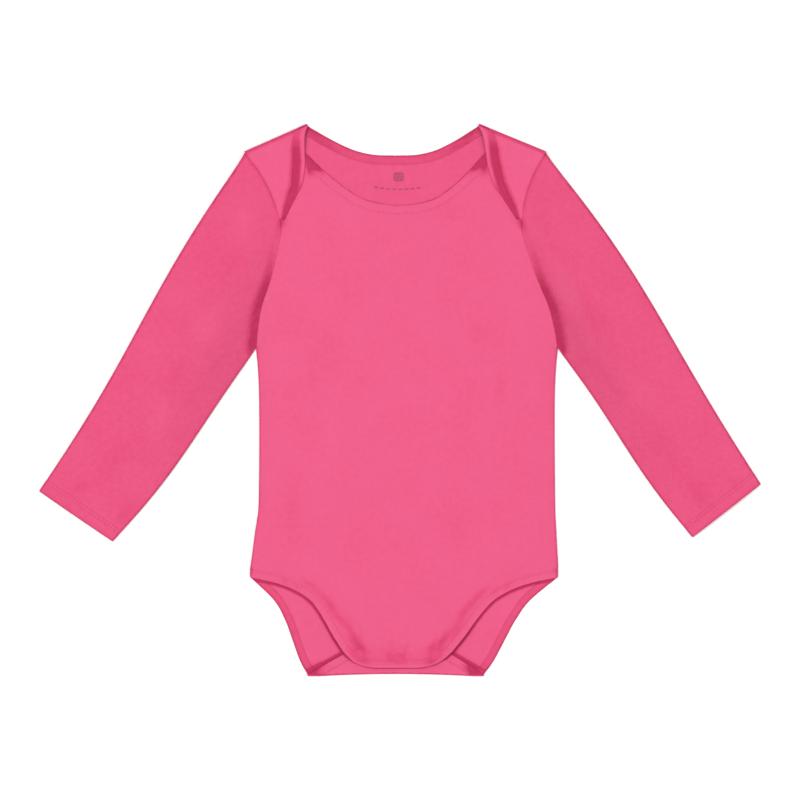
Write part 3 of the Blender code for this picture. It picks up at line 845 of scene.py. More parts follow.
# Lines that heights and shades are measured from
NECK_LINE = thinned(front_neck())
FRONT_EDGE = thinned(front_leg_edge())
TAB_LINES = [thinned(tab_edge()[: TAB_PARTS + 1]), thinned(tab_edge()[-TAB_PARTS - 1 :])]
LAP_LINES = {side: lap_edge(side) for side in BOTH}
ARM_LINES = {side: thinned(armhole(side, 0)) for side in BOTH}
SHOULDER_LINES = [shoulder_fold(side) for side in BOTH]
CUFF_ENDS = [np.array([edge[-1] for edge in sleeve_edges(side)]) for side in BOTH]
CROTCH_LINE = np.vstack([laid(BACK_LEG[-1:], side) for side in BOTH])
HIPS = [laid(SIDE[:2], side) for side in BOTH]
SIDE_EDGES = edges_beside(-1) + edges_beside(1)
MEETING_EDGES = [NECK_LINE, FRONT_EDGE, *SIDE_EDGES]  # where the front comes down to the back
OUTLINE = [CROTCH_LINE, thinned(neck_curve()), *CUFF_ENDS, *SIDE_EDGES]
OUTLINE += [thinned(back_leg(side)) for side in BOTH]


# Relief

def strip_profile(points, curve, rows, hand):
    """A strip on a curve's left (hand 1) or right: 0 off it, up to its depth in the middle."""
    gap, share = nearest(points, curve)
    off, half, depth = (
        read_off(rows, "share", share, field) for field in ("off", "half_width", "depth")
    )
    return depth * np.exp(-np.abs((hand * gap - off) / half) ** STRIP_SHOULDERS)


def folds_height(points, folds):
    """The soft folds' height over each point."""
    total = np.zeros(points.shape[:-1])
    for fold in folds:
        turn = math.radians(fold.angle)
        off = points - (fold.x, fold.y)
        along = off[..., 0] * math.cos(turn) + off[..., 1] * math.sin(turn)
        across = off[..., 1] * math.cos(turn) - off[..., 0] * math.sin(turn)
        spread = (2 * along / fold.length) ** 2 + (across / fold.width) ** 2
        total += fold.height * np.exp(-spread)
    return total


def shades_depth(points, shades):
    """How deep each point lies in the shade of the places listed."""
    return folds_height(points, [Fold(*shade) for shade in shades])


def seam_dip(points, seams, roll):
    """How far cloth turns down at its seams, along a quarter of a circle."""
    gap = distance_to(points, seams)
    left = np.clip(roll - gap, 0, roll)
    return roll - np.sqrt(roll**2 - left**2)


def beside_laps(points, rows):
    return sum(strip_profile(points, LAP_LINES[side], rows, side) for side in BOTH)


def upper_level(points):
    """Height of the middle of the upper layer before its creases."""
    rise = PUFF * (1 - fading_from(points, MEETING_EDGES, PUFF_REACH))
    rise *= 1 - (1 - CUFF_PUFF) * fading_from(points, CUFF_ENDS, CUFF_REACH)
    return FRONT_LEVEL + np.maximum(rise, CROTCH_LIFT * coming_in(points, LIFT_FROM))


def front_height(points):
    """Height of the middle of the front's wall: the upper level, with its creases."""
    edge_lift = LEG_EDGE_LIFT * fading_from(points, [FRONT_EDGE], LEG_BAND)
    edge_lift *= away_from(points, HIPS, HIP_REACH)
    creased = upper_level(points) + folds_height(points, FRONT_FOLDS)
    creased -= CHANNEL_DEPTH * beside_laps(points, LAP_CHANNEL)
    return np.maximum(creased, FRONT_LEVEL) + edge_lift


def lap_height(points):
    ease = LAP_EASE * away_from(points, SHOULDER_LINES, SHOULDER_FOLD)
    ease -= LAP_SETTLE * away_from(points, SHOULDER_LINES, SETTLE_REACH)
    return front_height(points) + LAP_LEVEL - FRONT_LEVEL + ease


def underarm_crease(points, side):
    return strip_profile(points, ARM_LINES[side], UNDERARM_CREASE, -side)


def sleeve_height(points, side):
    """Level with the lap beside it, and with the front elsewhere, with its own creases."""
    tip = LAP_EDGE[-1].height
    near = 1 - away_from(points, [ARM_LINES[side]], LAP_STEP_REACH)
    creased = upper_level(points) + folds_height(points, SLEEVE_FOLDS[side])
    creased += LAP_STEP * near * coming_in(points, (tip - LAP_STEP_REACH, tip))
    from_fold = np.linalg.norm(points - laid(ARMHOLE[-1:], side), axis=-1)
    creased += SHOULDER_STEP * np.exp(-from_fold / SHOULDER_REACH)
    creased -= CREASE_DEPTH * underarm_crease(points, side)
    return np.maximum(creased, FRONT_LEVEL)


def raised(points, height):
    heights = np.broadcast_to(np.asarray(height, float), points.shape[:-1])
    return np.concatenate([points, heights[..., None]], axis=-1)


def rim_shade(points):
    """How shaded cloth is where it turns away at the garment's outline."""
    return RIM_TONE * beside(points, OUTLINE, RIM_WIDTH)


def arm_seam_shade(points, side):
    """The shade beside an armhole seam above the tip of the lap."""
    tip = LAP_EDGE[-1].height
    near = beside(points, [ARM_LINES[side]], ARM_SEAM_WIDTH)
    return ARM_SEAM_TONE * near * coming_in(points, (tip, tip + ARM_SEAM_REACH))


# Cloth: layers of points, each with its place on the cut, its shade and its share of the wall

Layer = namedtuple("Layer", "points cut tone near wall")


def layer(points, cut=None, tone=0.0, near=FAR, wall=1.0):
    """One grid of a piece.

    cut is each point's place on the flat cloth, tone how shaded it is (below zero for lighter),
    near how far it lies from the edge of a layer above it, and wall its share of the thickness.
    """
    shape = points.shape[:-1]
    cut = points[..., :2] if cut is None else cut
    values = [np.broadcast_to(np.asarray(value, float), shape) for value in (tone, near, wall)]
    return Layer(points, np.broadcast_to(cut, (*shape, 2)), *values)


def deselect():
    for item in bpy.context.selected_objects:
        item.select_set(False)


def new_object(name, data, look):
    piece = bpy.data.objects.new(name, data)
    bpy.context.scene.collection.objects.link(piece)
    data.materials.append(look)
    return piece


def extruded(height):
    """In edit mode, gives the flat sheet that is selected a thickness, with its faces outwards."""
    bpy.ops.mesh.extrude_region_move(TRANSFORM_OT_translate={"value": (0, 0, height)})
    bpy.ops.mesh.select_all(action="SELECT")
    bpy.ops.mesh.normals_make_consistent(inside=False)


def belongs(piece, slot, *nodes):
    """Fixes a piece to the body, and hides the fixed pieces that it stands for; slot is not used.
    """
    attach(piece, BODY)
    if nodes:
        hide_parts(*nodes)


def grid_faces(shape, start):
    rows, columns = shape
    index = start + np.arange(rows * columns).reshape(rows, columns)
    corners = (index[:-1, :-1], index[:-1, 1:], index[1:, 1:], index[1:, :-1])
    return np.stack(corners, axis=-1).reshape(-1, 4)


def weigh(piece, wall):
    """Vertex weights that thin the wall where it ends in a rounded edge."""
    group = piece.vertex_groups.new(name="wall")
    steps = np.round(wall, 2)
    for step in np.unique(steps):
        members = np.flatnonzero(steps == step).tolist()
        group.add(members, float(step), "REPLACE")


def merged(data):
    """Joins the layers of a mesh where they share points, with all faces turned the same way."""
    mesh = bmesh.new()
    mesh.from_mesh(data)
    bmesh.ops.remove_doubles(mesh, verts=mesh.verts, dist=SAME_POINT * MM)
    bmesh.ops.recalc_face_normals(mesh, faces=mesh.faces)
    mesh.to_mesh(data)
    mesh.free()


def cloth(name, layers):
    """One piece of cloth: its layers, joined where they share points, and thickened."""
    starts = np.cumsum([0] + [part.tone.size for part in layers])
    faces = [grid_faces(part.tone.shape, start) for part, start in zip(layers, starts)]
    faces = np.vstack(faces)
    points, cut, tone, near, wall = (
        np.concatenate([grid.reshape(-1, *grid.shape[2:]) for grid in grids])
        for grids in zip(*layers)
    )
    data = bpy.data.meshes.new(name)
    data.from_pydata(points * MM, [], faces.tolist())
    for field, values in (("tone", tone), ("near", near)):
        attribute = data.attributes.new(field, "FLOAT", "POINT")
        attribute.data.foreach_set("value", values.astype(np.float32))
    flat = data.uv_layers.new(name="cut")
    flat.data.foreach_set("uv", (cut[faces.ravel()] * MM).astype(np.float32).ravel())
    piece = new_object(name, data, finish("pink_jersey", jersey))
    weigh(piece, wall)
    merged(data)
    data.shade_smooth()
    thickness = piece.modifiers.new("Wall", "SOLIDIFY")
    thickness.thickness = sizes().wall
    thickness.offset = 0.0
    thickness.vertex_group = "wall"
    thickness.thickness_vertex_group = THIN_EDGE
    return piece


def rounded(off, radius):
    """Share of the wall at a distance from an edge that ends in half a circle."""
    return np.sqrt(1 - (1 - np.clip(off / radius, 0, 1)) ** 2)


def turned_over(points, way, radius):
    """Rows that carry a line of cloth round a fold, from the lower layer to the upper one."""
    rows = []
    for angle in np.linspace(0, math.pi, FOLD_PARTS + 1):
        out = radius * math.sin(angle)
        up = radius * (1 - math.cos(angle))
        rows.append(raised(points + out * way, BACK_LEVEL + up))
    return np.array(rows)


def turned_cut(points, way, radius):
    """The same rows on the flat cut, where the cloth runs straight on."""
    reach = radius * np.linspace(0, math.pi, FOLD_PARTS + 1)
    return points[None] + reach[:, None, None] * way


def unfolded(points, fold, way, radius):
    """Where points beyond a fold lie on the flat cut."""
    back = (points - fold) @ way
    return points + (math.pi * radius - 2 * back)[..., None] * way


def folded_layer(points, way, radius):
    """A line of panel cloth carried round a fold."""
    turn, flat = turned_over(points, way, radius), turned_cut(points, way, radius)
    return layer(turn, flat, RIM_TONE, FAR, PANEL_WALL)


PanelEdges = namedtuple("PanelEdges", "long top shoulders seams arms")


def panel_edges(legs, neck):
    """The edges of the back or the front.

    Each long edge runs up a leg opening, a side seam and an armhole, and the top edge along the
    shoulders and the neck.
    """
    long, shoulders, seams, arms = {}, {}, {}, {}
    for side, neck_end in zip(BOTH, (neck[0], neck[-1])):
        seams[side] = side_seam(side, legs[side][-1])
        arms[side] = armhole(side, -SEAM_GAP / 2)
        seams[side][-1] = arms[side][0]
        long[side] = joined(legs[side], seams[side], arms[side])
        shoulders[side] = line(neck_end, arms[side][-1], SHOULDER_PARTS, True, True)
    top = joined(shoulders[-1][::-1], neck, shoulders[1])
    return PanelEdges(long, top, shoulders, seams, arms)


# The back, with its laps and its tab

def back_height(points):
    seams = [thinned(side_seam(side, laid(SIDE, side)[0])) for side in BOTH]
    turn = seam_dip(points, seams, SIDE_ROLL)
    return BACK_LEVEL + np.minimum(turn, BACK_TURN)


def back_tone(points):
    tone = shades_depth(points, FOLD_CORNER_SHADES)
    # Painted streaks of light and shade, as of soft folds that the flat back doesn't have
    tone -= TONE_OF_FOLD * folds_height(points, PAINTED_BACK_FOLDS)
    tone += INSIDE_TONE * coming_in(points, INSIDE_FROM)
    return tone + rim_shade(points)


def under_edges(points):
    """How far the lower cloth lies from the edges above it."""
    tab = TAB_CONTACT * distance_to(points, TAB_LINES)
    legs = np.minimum(distance_to(points, [FRONT_EDGE]), tab)
    neck = NECK_CONTACT * distance_to(points, [NECK_LINE]) + NECK_CONTACT_OFF
    laps = [nearest(points, LAP_LINES[side])[0] * -side for side in BOTH]
    lap = np.min([np.where(gap < 0, FAR, gap) for gap in laps], axis=0)
    return np.minimum(np.minimum(legs, neck), LAP_CONTACT * lap + LAP_CONTACT_OFF)


def back_layers():
    legs = {side: back_leg_seam(side, LEG_BAND + SEAM_GAP)[::-1] for side in BOTH}
    back = panel_edges(legs, neck_seam(NECK_BAND + SEAM_GAP))
    crotch = arched(legs[-1][0], legs[1][0], ACROSS_PARTS)
    points = patch(crotch, back.top, back.long[-1], back.long[1])
    lying = raised(points, back_height(points))
    layers = [layer(lying, None, back_tone(points), under_edges(points), PANEL_WALL)]
    for side in BOTH:
        layers.append(folded_layer(back.shoulders[side], over_shoulder(side), SHOULDER_FOLD))
        layers.append(lap_layer(side, back.shoulders[side]))
    layers.append(folded_layer(crotch, DOWN, TAB_FOLD))
    layers.append(tab_layer(crotch))
    return layers


def lap_layer(side, fold):
    """A lap, from the shoulder fold down to its tip at the armhole."""
    arm = armhole(side, -SEAM_GAP / 2)[LOWER_ARMHOLE_PARTS:][::-1]
    across = shares_along(fold)[:, None]
    rows = lap_seam(side, SEAM_GAP)[:, None] * (1 - across) + arm[:, None] * across
    rows[0] = fold
    from_fold = away_from(rows, [shoulder_fold(side)], FOLD_EASE)
    height = lap_height(rows) - seam_dip(rows, [armhole(side, 0)], ARM_ROLL) * from_fold
    tone = CHANNEL_TONE * beside_laps(rows, LAP_CHANNEL) + LAP_LIGHT
    tone += rim_shade(rows) + arm_seam_shade(rows, side)
    cut = unfolded(rows, fold[0], over_shoulder(side), SHOULDER_FOLD)
    return layer(raised(rows, height), cut, tone, FAR, PANEL_WALL)


def tab_layer(crotch):
    seam = tab_seam(LEG_BAND + SEAM_GAP)
    left = seam[: TAB_PARTS + 1]
    top = seam[TAB_PARTS : TAB_PARTS + ACROSS_PARTS + 1]
    right = seam[TAB_PARTS + ACROSS_PARTS :][::-1]
    left[0], right[0] = crotch[0], crotch[-1]
    points = patch(crotch, top, left, right)
    near = under_front(points)
    cut = unfolded(points, crotch[0], DOWN, TAB_FOLD)
    return layer(raised(points, BACK_LEVEL + 2 * TAB_FOLD), cut, TAB_LIGHT, near, PANEL_WALL)


# The front

def front_layers():
    lower = front_leg_seam(LEG_BAND + SEAM_GAP)
    turn = LEG_PARTS + CORNER_PARTS
    neck = front_neck_seam(NECK_BAND + SEAM_GAP)
    front = panel_edges({-1: lower[: turn + 1][::-1], 1: lower[turn + ACROSS_PARTS :]}, neck)
    bottom = lower[turn : turn + ACROSS_PARTS + 1]
    points = relaxed(patch(bottom, front.top, front.long[-1], front.long[1]), turn)
    seams = [thinned(front.seams[side]) for side in BOTH]
    height = front_height(points)
    height -= seam_dip(points, list(front.arms.values()), ARM_ROLL)
    height -= seam_dip(points, seams, SIDE_ROLL)
    height -= seam_dip(points, [lower, neck], BAND_ROLL)
    height = np.maximum(height, FRONT_LEVEL - SIDE_ROLL)
    return [layer(raised(points, height), None, front_tone(points), FAR, PANEL_WALL)]


def front_tone(points):
    tone = -TONE_OF_FOLD * folds_height(points, FRONT_FOLDS)
    tone += shades_depth(points, PUCKER_SHADES + NECK_NOOKS + LAP_TIP_SHADES)
    tone += CROTCH_TONE * coming_in(points, CROTCH_FROM)
    return tone + rim_shade(points)


# Sleeves

def trimmed(curve, first, last, parts):
    """The curve with lengths cut off its ends, as the same number of parts."""
    along = lengths_along(curve)
    last = along[-1] - last
    start, end = at_lengths(curve, (first, last))
    keep = (along > first) & (along < last)
    return resampled(np.vstack([start, curve[keep], end]), parts)


def rolled(start, end, way):
    """The points between two layers' edges, round the outside of the roll that joins them."""
    middle = (start + end) / 2
    half = (start - end) / 2
    out = np.array([*way, 0.0]) * TAB_FOLD
    angles = np.linspace(0, math.pi, FOLD_PARTS + 1)[1:-1]
    return np.array([middle + half * math.cos(a) + out * math.sin(a) for a in angles])


def roll_ways(curve, hand, first):
    """The way out of a long edge at each point, running into it from the corner's own way."""
    share = np.exp(-lengths_along(curve) / ROLL_BLEND)[:, None]
    ways = (1 - share) * sideways(curve, hand) + share * first
    return ways / np.linalg.norm(ways, axis=1)[:, None]


def sleeve_outline(side):
    """The turned edges of a sleeve's two layers: its long edges and its end at the armhole."""
    roll = TAB_FOLD + SIDE_MARGIN
    outer, inner = sleeve_edges(side)
    outer, inner = inset(outer, roll, -side), inset(inner, roll, side)
    slides = (roll * SHOULDER_SLIDE, roll * UNDERARM_SLIDE)
    start = trimmed(armhole(side, SLEEVE_SEAM)[::-1], *slides, ARMHOLE_PARTS)
    for edge, corner in ((outer, start[0]), (inner, start[-1])):
        share = np.exp(-lengths_along(edge) / ROLL_BLEND)[:, None]
        edge += share * (corner - edge[0])
    return outer, inner, start


def sleeve_wall(from_cuff):
    """Shares of the wall along a sleeve: full in the hem, and rounded at the cuff's edge."""
    in_hem = eased((HEM_DEPTH - from_cuff) / HEM_STEP)
    return (PANEL_WALL + (1 - PANEL_WALL) * in_hem) * rounded(from_cuff, EDGE_ROUNDING)


def sleeve_layers(side):
    """A flattened tube, open at the armhole and at the cuff, as rings along the arm."""
    outer, inner, start = sleeve_outline(side)
    cuff = line(outer[-1], inner[-1], ARMHOLE_PARTS)
    points = patch(start, cuff, outer, inner)
    tops = raised(points, sleeve_height(points, side) - seam_dip(points, [start], ARM_ROLL))
    bottoms = raised(points, BACK_LEVEL)
    bottoms[:, FIRST_AND_LAST, 2] += ROLL_LIFT
    seam = armhole(side, SLEEVE_SEAM)
    outs = roll_ways(outer, side, unit(seam[-1] - seam[-2]))
    inwards = roll_ways(inner, -side, unit(seam[0] - seam[1]))
    rings = []
    for top, bottom, out, inward in zip(tops, bottoms, outs, inwards):
        under = rolled(top[-1], bottom[-1], inward)
        over = rolled(bottom[0], top[0], out)
        rings.append(np.vstack([top, under, bottom[::-1], over, top[:1]]))
    rings = np.array(rings)
    axis = unit(cuff.mean(axis=0) - start.mean(axis=0))
    across = side * np.array([-axis[1], axis[0]])
    cuts = np.array([ring_cut(ring, axis, across) for ring in rings])
    tone = sleeve_tone(rings[..., :2], side)
    tone[:, len(start) :] = SLEEVE_TONE + RIM_TONE
    from_cuff = (lengths_along(outer)[-1] - lengths_along(outer))[:, None]
    return [layer(rings, cuts, tone, FAR, sleeve_wall(from_cuff))]


def ring_cut(ring, axis, across):
    """Places of a ring's points on the flat cut: along the arm, and round the sleeve."""
    round_it = lengths_along(ring)
    start = ring[0, :2] @ across
    return np.stack([start - round_it, ring[:, :2] @ axis], axis=1)


def sleeve_tone(points, side):
    tone = -TONE_OF_FOLD * folds_height(points, SLEEVE_FOLDS[side])
    tone += shades_depth(points, LAP_TIP_SHADES) + arm_seam_shade(points, side)
    tone += SLEEVE_TONE + rim_shade(points)
    return tone + CREASE_TONE * underarm_crease(points, side)


# Bands

def band_rows(free, sewn):
    """Points across a band, from its free edge to its seam."""
    share = ACROSS_BAND[..., None]
    return free[None] * (1 - share) + sewn[None] * share


def band_width(free, sewn):
    return np.linalg.norm(sewn - free, axis=-1)[None]


def band_walls(free, sewn):
    """Shares of the wall across a band: rounded at its free edge and, less, at its seam."""
    width = band_width(free, sewn)
    edge = rounded(ACROSS_BAND * width, EDGE_ROUNDING)
    return edge * (SEAM_WALL + (1 - SEAM_WALL) * rounded((1 - ACROSS_BAND) * width, BAND_ROLL))


def crown(free, sewn):
    """How a band swells in its middle and droops at its free edge."""
    swell = BAND_CROWN * np.sin(math.pi * ACROSS_BAND**CROWN_SHIFT)
    off = ACROSS_BAND * band_width(free, sewn)
    return swell - EDGE_DROOP * (1 - rounded(off, EDGE_ROUNDING))


def strip_cut(free, sewn):
    """The band's own straight cut: along it, and across it."""
    off = ACROSS_BAND * band_width(free, sewn)
    return np.stack([np.broadcast_to(lengths_along(free), off.shape), off], axis=-1)


def band_layer(free, sewn, height, tone, near=None, fades=(False, False)):
    """A band between its free edge and its seam, swollen but at the ends that go on as folds."""
    points = band_rows(free, sewn)
    along = lengths_along(free)
    swell = crown(free, sewn)
    for fade, from_end in zip(fades, (along, along[-1] - along)):
        if fade:
            swell = swell * eased(from_end / FOLD_EASE)
    nears = FAR if near is None else near(points)
    height = raised(points, height(points) + swell)
    return layer(height, strip_cut(free, sewn), tone(points), nears, band_walls(free, sewn))


def turn_layer(free, sewn, way, radius, tone):
    """A band where it goes round a fold, as rows from the lower layer to the upper one."""
    across = band_rows(free[None], sewn[None])[:, 0]
    rows = turned_over(across, way, radius)
    wall = band_walls(free[None], sewn[None])[:, 0]
    return layer(rows, turned_cut(across, way, radius), tone, FAR, wall[None])


def neck_band_back_layers():
    """Along the back neckline and, over the shoulder folds, down the edges of both laps."""
    edge, seam = neck_curve(), neck_seam(NECK_BAND)
    layers = [band_layer(edge, seam, on_surface, neck_band_tone, fades=(True, True))]
    for side, index in zip(BOTH, FIRST_AND_LAST):
        way, tone = over_shoulder(side), neck_band_tone(edge[index])
        layers.append(turn_layer(edge[index], seam[index], way, SHOULDER_FOLD, tone))
        sewn = lap_seam(side, 0)
        sewn[0] = seam[index]
        free = lap_edge(side)
        layers.append(band_layer(free, sewn, lap_band_height, lap_band_tone, fades=(True, False)))
    return layers


def on_surface(points):
    return np.full(points.shape[:-1], BACK_LEVEL)


def on_tab(points):
    return np.full(points.shape[:-1], BACK_LEVEL + 2 * TAB_FOLD)


def neck_band_tone(points):
    return NECK_BAND_TONE + shades_depth(points, APEX_SHADES) + rim_shade(points)


def lap_band_height(points):
    droop = 1 - rounded(distance_to(points, list(LAP_LINES.values())), EDGE_ROUNDING)
    droop *= LAP_DROOP * away_from(points, SHOULDER_LINES, FOLD_EASE)
    return lap_height(points) + LAP_RIDGE * beside_laps(points, LAP_ROLL) - droop


def lap_band_tone(points):
    channel = CHANNEL_TONE * beside_laps(points, LAP_CHANNEL)
    return channel + LAP_ROLL_TONE * beside_laps(points, LAP_ROLL)


def neck_band_front_layers():
    free, sewn = front_neck(), front_neck_seam(NECK_BAND)
    return [band_layer(free, sewn, front_height, front_tone)]


def leg_band_front_layers():
    free, sewn = front_leg_edge(), front_leg_seam(LEG_BAND)
    return [band_layer(free, sewn, front_height, front_band_tone)]


def front_band_tone(points):
    return front_tone(points) + LEG_ROLL_TONE * beside(points, [FRONT_EDGE], LEG_ROLL_WIDTH)


def leg_band_back_layers():
    """Down one back leg opening, over the crotch fold, round the tab and up the other."""
    free, sewn = tab_edge(), tab_seam(LEG_BAND)
    layers = []
    for side, index in zip(BOTH, FIRST_AND_LAST):
        leg, seam = back_leg(side), back_leg_seam(side, LEG_BAND)
        sewn[index] = seam[-1]
        layers += [
            band_layer(leg, seam, on_surface, leg_band_tone, under_edges, (False, True)),
            turn_layer(leg[-1], seam[-1], DOWN, TAB_FOLD, LEG_BAND_TONE),
        ]
    return [*layers, band_layer(free, sewn, on_tab, tab_band_tone, under_front, (True, True))]


def leg_band_tone(points):
    return LEG_BAND_TONE + back_tone(points)


def tab_band_tone(points):
    return TAB_LIGHT + shades_depth(points, FOLD_CORNER_SHADES) + rim_shade(points)


def under_front(points):
    """How far the tab lies from the front's edge, less shaded where that edge is straight."""
    return distance_to(points, [FRONT_EDGE]) + BOTTOM_CONTACT_OFF * coming_in(points, BOTTOM_FROM)


# Stitches

def stitch_shape():
    """One stitch: a short grain of thread, pointed at its ends, along +X."""
    deselect()
    sides, rings = GRAIN_PARTS
    bpy.ops.mesh.primitive_uv_sphere_add(segments=sides, ring_count=rings, radius=0.5)
    grain = bpy.context.object
    bpy.ops.object.mode_set(mode="EDIT")
    bpy.ops.mesh.select_all(action="SELECT")
    bpy.ops.transform.rotate(value=math.pi / 2, orient_axis="Y", center_override=(0, 0, 0))
    width = sizes().thread
    bpy.ops.transform.resize(value=(sizes().stitch, width, width * THREAD_FLATNESS))
    bpy.ops.object.mode_set(mode="OBJECT")
    points = np.array([vertex.co for vertex in grain.data.vertices])
    faces = [list(face.vertices) for face in grain.data.polygons]
    bpy.data.objects.remove(grain, do_unlink=True)
    return points, faces


def stitch_places(row):
    """Where each stitch of a row lies, and the way it runs."""
    step = (sizes().stitch + sizes().stitch_gap) / MM
    middles = np.arange(step / 2, lengths_along(row)[-1], step)
    places, ahead = (at_lengths(row, at) for at in (middles, middles + LOOK_AHEAD * step))
    return places, ahead - places


def stitches(name, rows):
    """All the stitches of one piece, as one mesh with a grain of thread for each."""
    shape, shape_faces = stitch_shape()
    points, faces = [], []
    for row in rows:
        for middle, run in zip(*stitch_places(row)):
            run = unit(run)
            across = unit(np.cross((0, 0, 1), run))
            turned = shape @ np.stack([run, across, np.cross(run, across)])
            start = len(points) * len(shape)
            points.append(turned + middle * MM)
            faces += [[index + start for index in face] for face in shape_faces]
    data = bpy.data.meshes.new(name)
    data.from_pydata(np.vstack(points), [], faces)
    data.shade_smooth()
    piece = new_object(name, data, finish("sewing_thread", thread))
    belongs(piece, "band")
    return piece


def stitch_line(curve, height, lift, first=0, last=0):
    """A row of stitches on the cloth, without the first and last points of the curve."""
    kept = curve[first : len(curve) - last]
    return raised(kept, height(kept) + lift)


def on_band():
    return sizes().wall / MM / 2 + THREAD_SINK


def on_crown():
    return on_band() + BAND_CROWN * STITCH_ON_CROWN


def front_stitches():
    neck = front_neck_seam(NECK_BAND - BAND_STITCH_OFF)
    leg = front_leg_seam(LEG_BAND - BAND_STITCH_OFF)
    return stitches("stitches_front", [
        stitch_line(neck, front_height, on_crown(), UNDER_LAP, UNDER_LAP),
        stitch_line(leg, front_height, on_crown(), 1, 1),
    ])


def back_stitches():
    neck = neck_seam(NECK_BAND - BAND_STITCH_OFF)
    rows = [stitch_line(neck, on_surface, on_crown(), BESIDE_FOLD + 1, BESIDE_FOLD + 1)]
    for side in BOTH:
        leg = back_leg_seam(side, LEG_BAND - BAND_STITCH_OFF)
        rows.append(stitch_line(leg, on_surface, on_crown(), 1, BESIDE_FOLD))
    tab = tab_seam(LEG_BAND - BAND_STITCH_OFF)
    rows.append(stitch_line(tab, on_tab, on_crown(), BESIDE_FOLD, BESIDE_FOLD))
    return stitches("stitches_back", rows)


def sleeve_stitches(name):
    side = SIDES[name]
    rows = []
    for off in HEM_STITCHES:
        ends = [at_lengths(edge[::-1], off) for edge in sleeve_edges(side)]
        across = line(*ends, ARMHOLE_PARTS)
        row = trimmed(across, *HEM_ENDS, ARMHOLE_PARTS)
        rows.append(stitch_line(row, lambda points: sleeve_height(points, side), on_band()))
    return stitches(f"stitches_sleeve_{name}", rows)


# Snaps

def select_top(piece):
    """In edit mode, selects the one face that looks straight up."""
    mesh = bmesh.from_edit_mesh(piece.data)
    for face in mesh.faces:
        face.select_set(face.normal.z > LOOKS_UP)
    bmesh.update_edit_mesh(piece.data)


def snap_half(height, steps):
    """The mesh of a round snap half at the origin: a short cylinder, its top stepped in or out."""
    deselect()
    radius = sizes().snap / 2
    bpy.ops.mesh.primitive_cylinder_add(
        vertices=SNAP_SIDES, radius=radius, depth=height * MM, location=(0, 0, height * MM / 2)
    )
    piece = bpy.context.object
    bpy.ops.object.transform_apply(location=True)
    bpy.ops.object.mode_set(mode="EDIT")
    bpy.ops.mesh.select_all(action="DESELECT")
    select_top(piece)
    for step in steps:
        bpy.ops.mesh.inset(thickness=step.inwards * MM, depth=step.up * MM)
    bpy.ops.object.mode_set(mode="OBJECT")
    rim = piece.modifiers.new("Rim", "BEVEL")
    rim.width = SNAP_ROUNDING * MM
    rim.segments = SNAP_RIM_PARTS
    rim.angle_limit = math.radians(SNAP_CREASE)
    bpy.ops.object.modifier_apply(modifier=rim.name)
    bpy.ops.object.shade_smooth_by_angle(angle=math.radians(SNAP_SMOOTH))
    mesh = piece.data
    bpy.data.objects.remove(piece, do_unlink=True)
    return mesh


def three_snap_halves(name, node, height, steps, seat):
    """The same half at all three snaps, each resting at the height that seat gives."""
    pattern = snap_half(height, steps)
    for place in SNAP_PLACES:
        low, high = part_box(f"{node}_{place}")
        middle = np.array((low + high) / 2)
        data = pattern.copy()
        piece = new_object(f"{name}_{place}", data, finish("pink_resin", resin))
        data.name = piece.name
        at = Vector((middle[0], middle[1], seat(middle[:2] / MM) * MM))
        data.transform(Matrix.Translation(at))
        belongs(piece, "snap", f"{node}_{place}")
    bpy.data.meshes.remove(pattern)


def on_front(place):
    """Height at which a cap sits in the cloth of the front."""
    return float(front_height(np.array([place]))[0]) + on_cloth() - CAP_SINK


def over_tab(place):
    """Height at which a socket sits on the tab."""
    return BACK_LEVEL + 2 * TAB_FOLD + on_cloth()


def on_cloth():
    return sizes().wall / MM / 2 * PANEL_WALL


# The mark printed inside the neck: a plain block over a row of dashes

def printed_patch(middle, width, height, corner):
    """A thin film of ink with rounded corners."""
    deselect()
    bpy.ops.mesh.primitive_plane_add(size=1, location=(middle[0] * MM, middle[1] * MM, 0))
    piece = bpy.context.object
    piece.scale = (width * MM, height * MM, 1)
    bpy.ops.object.transform_apply(location=True, scale=True)
    bpy.ops.object.mode_set(mode="EDIT")
    bpy.ops.mesh.select_all(action="SELECT")
    bpy.ops.mesh.bevel(offset=corner * MM, segments=MARK_CORNER_PARTS, affect="VERTICES")
    low = (BACK_LEVEL + on_cloth()) * MM - INK_THICKNESS / 2 * MM
    bpy.ops.transform.translate(value=(0, 0, low))
    extruded(INK_THICKNESS * MM)
    bpy.ops.object.mode_set(mode="OBJECT")
    return piece


def neck_mark():
    patches = [printed_patch(MARK_BLOCK, *MARK_BLOCK_SIZE)]
    for across in np.linspace(*MARK_ROW_SPAN, MARK_DASHES):
        sag = MARK_ROW_SAG * (1 - (across / MARK_ROW_SPAN[0]) ** 2)
        patches.append(printed_patch((across, MARK_ROW - sag), *MARK_DASH_SIZE))
    for piece in patches:
        piece.select_set(True)
    bpy.context.view_layer.objects.active = patches[0]
    bpy.ops.object.join()
    piece = bpy.context.object
    piece.name = piece.data.name = "neck_mark"
    piece.data.materials.append(finish("neck_ink", ink))
    belongs(piece, "band")
    return piece


# Finishes

def node(tree, kind, inputs, **settings):
    """A node whose inputs, by name or number, are plain values or other nodes' outputs."""
    made = tree.nodes.new(kind)
    for field, value in settings.items():
        setattr(made, field, value)
    for socket, value in inputs.items():
        if isinstance(value, bpy.types.NodeSocket):
            tree.links.new(value, made.inputs[socket])
        else:
            made.inputs[socket].default_value = value
    return made


def place_on_piece(tree):
    return node(tree, "ShaderNodeTexCoord", {}).outputs["Object"]


def attribute(tree, name):
    return node(tree, "ShaderNodeAttribute", {}, attribute_name=name).outputs["Fac"]


def noise(tree, vector, scale, detail):
    inputs = {"Vector": vector, "Scale": scale, "Detail": detail}
    return node(tree, "ShaderNodeTexNoise", inputs).outputs["Fac"]


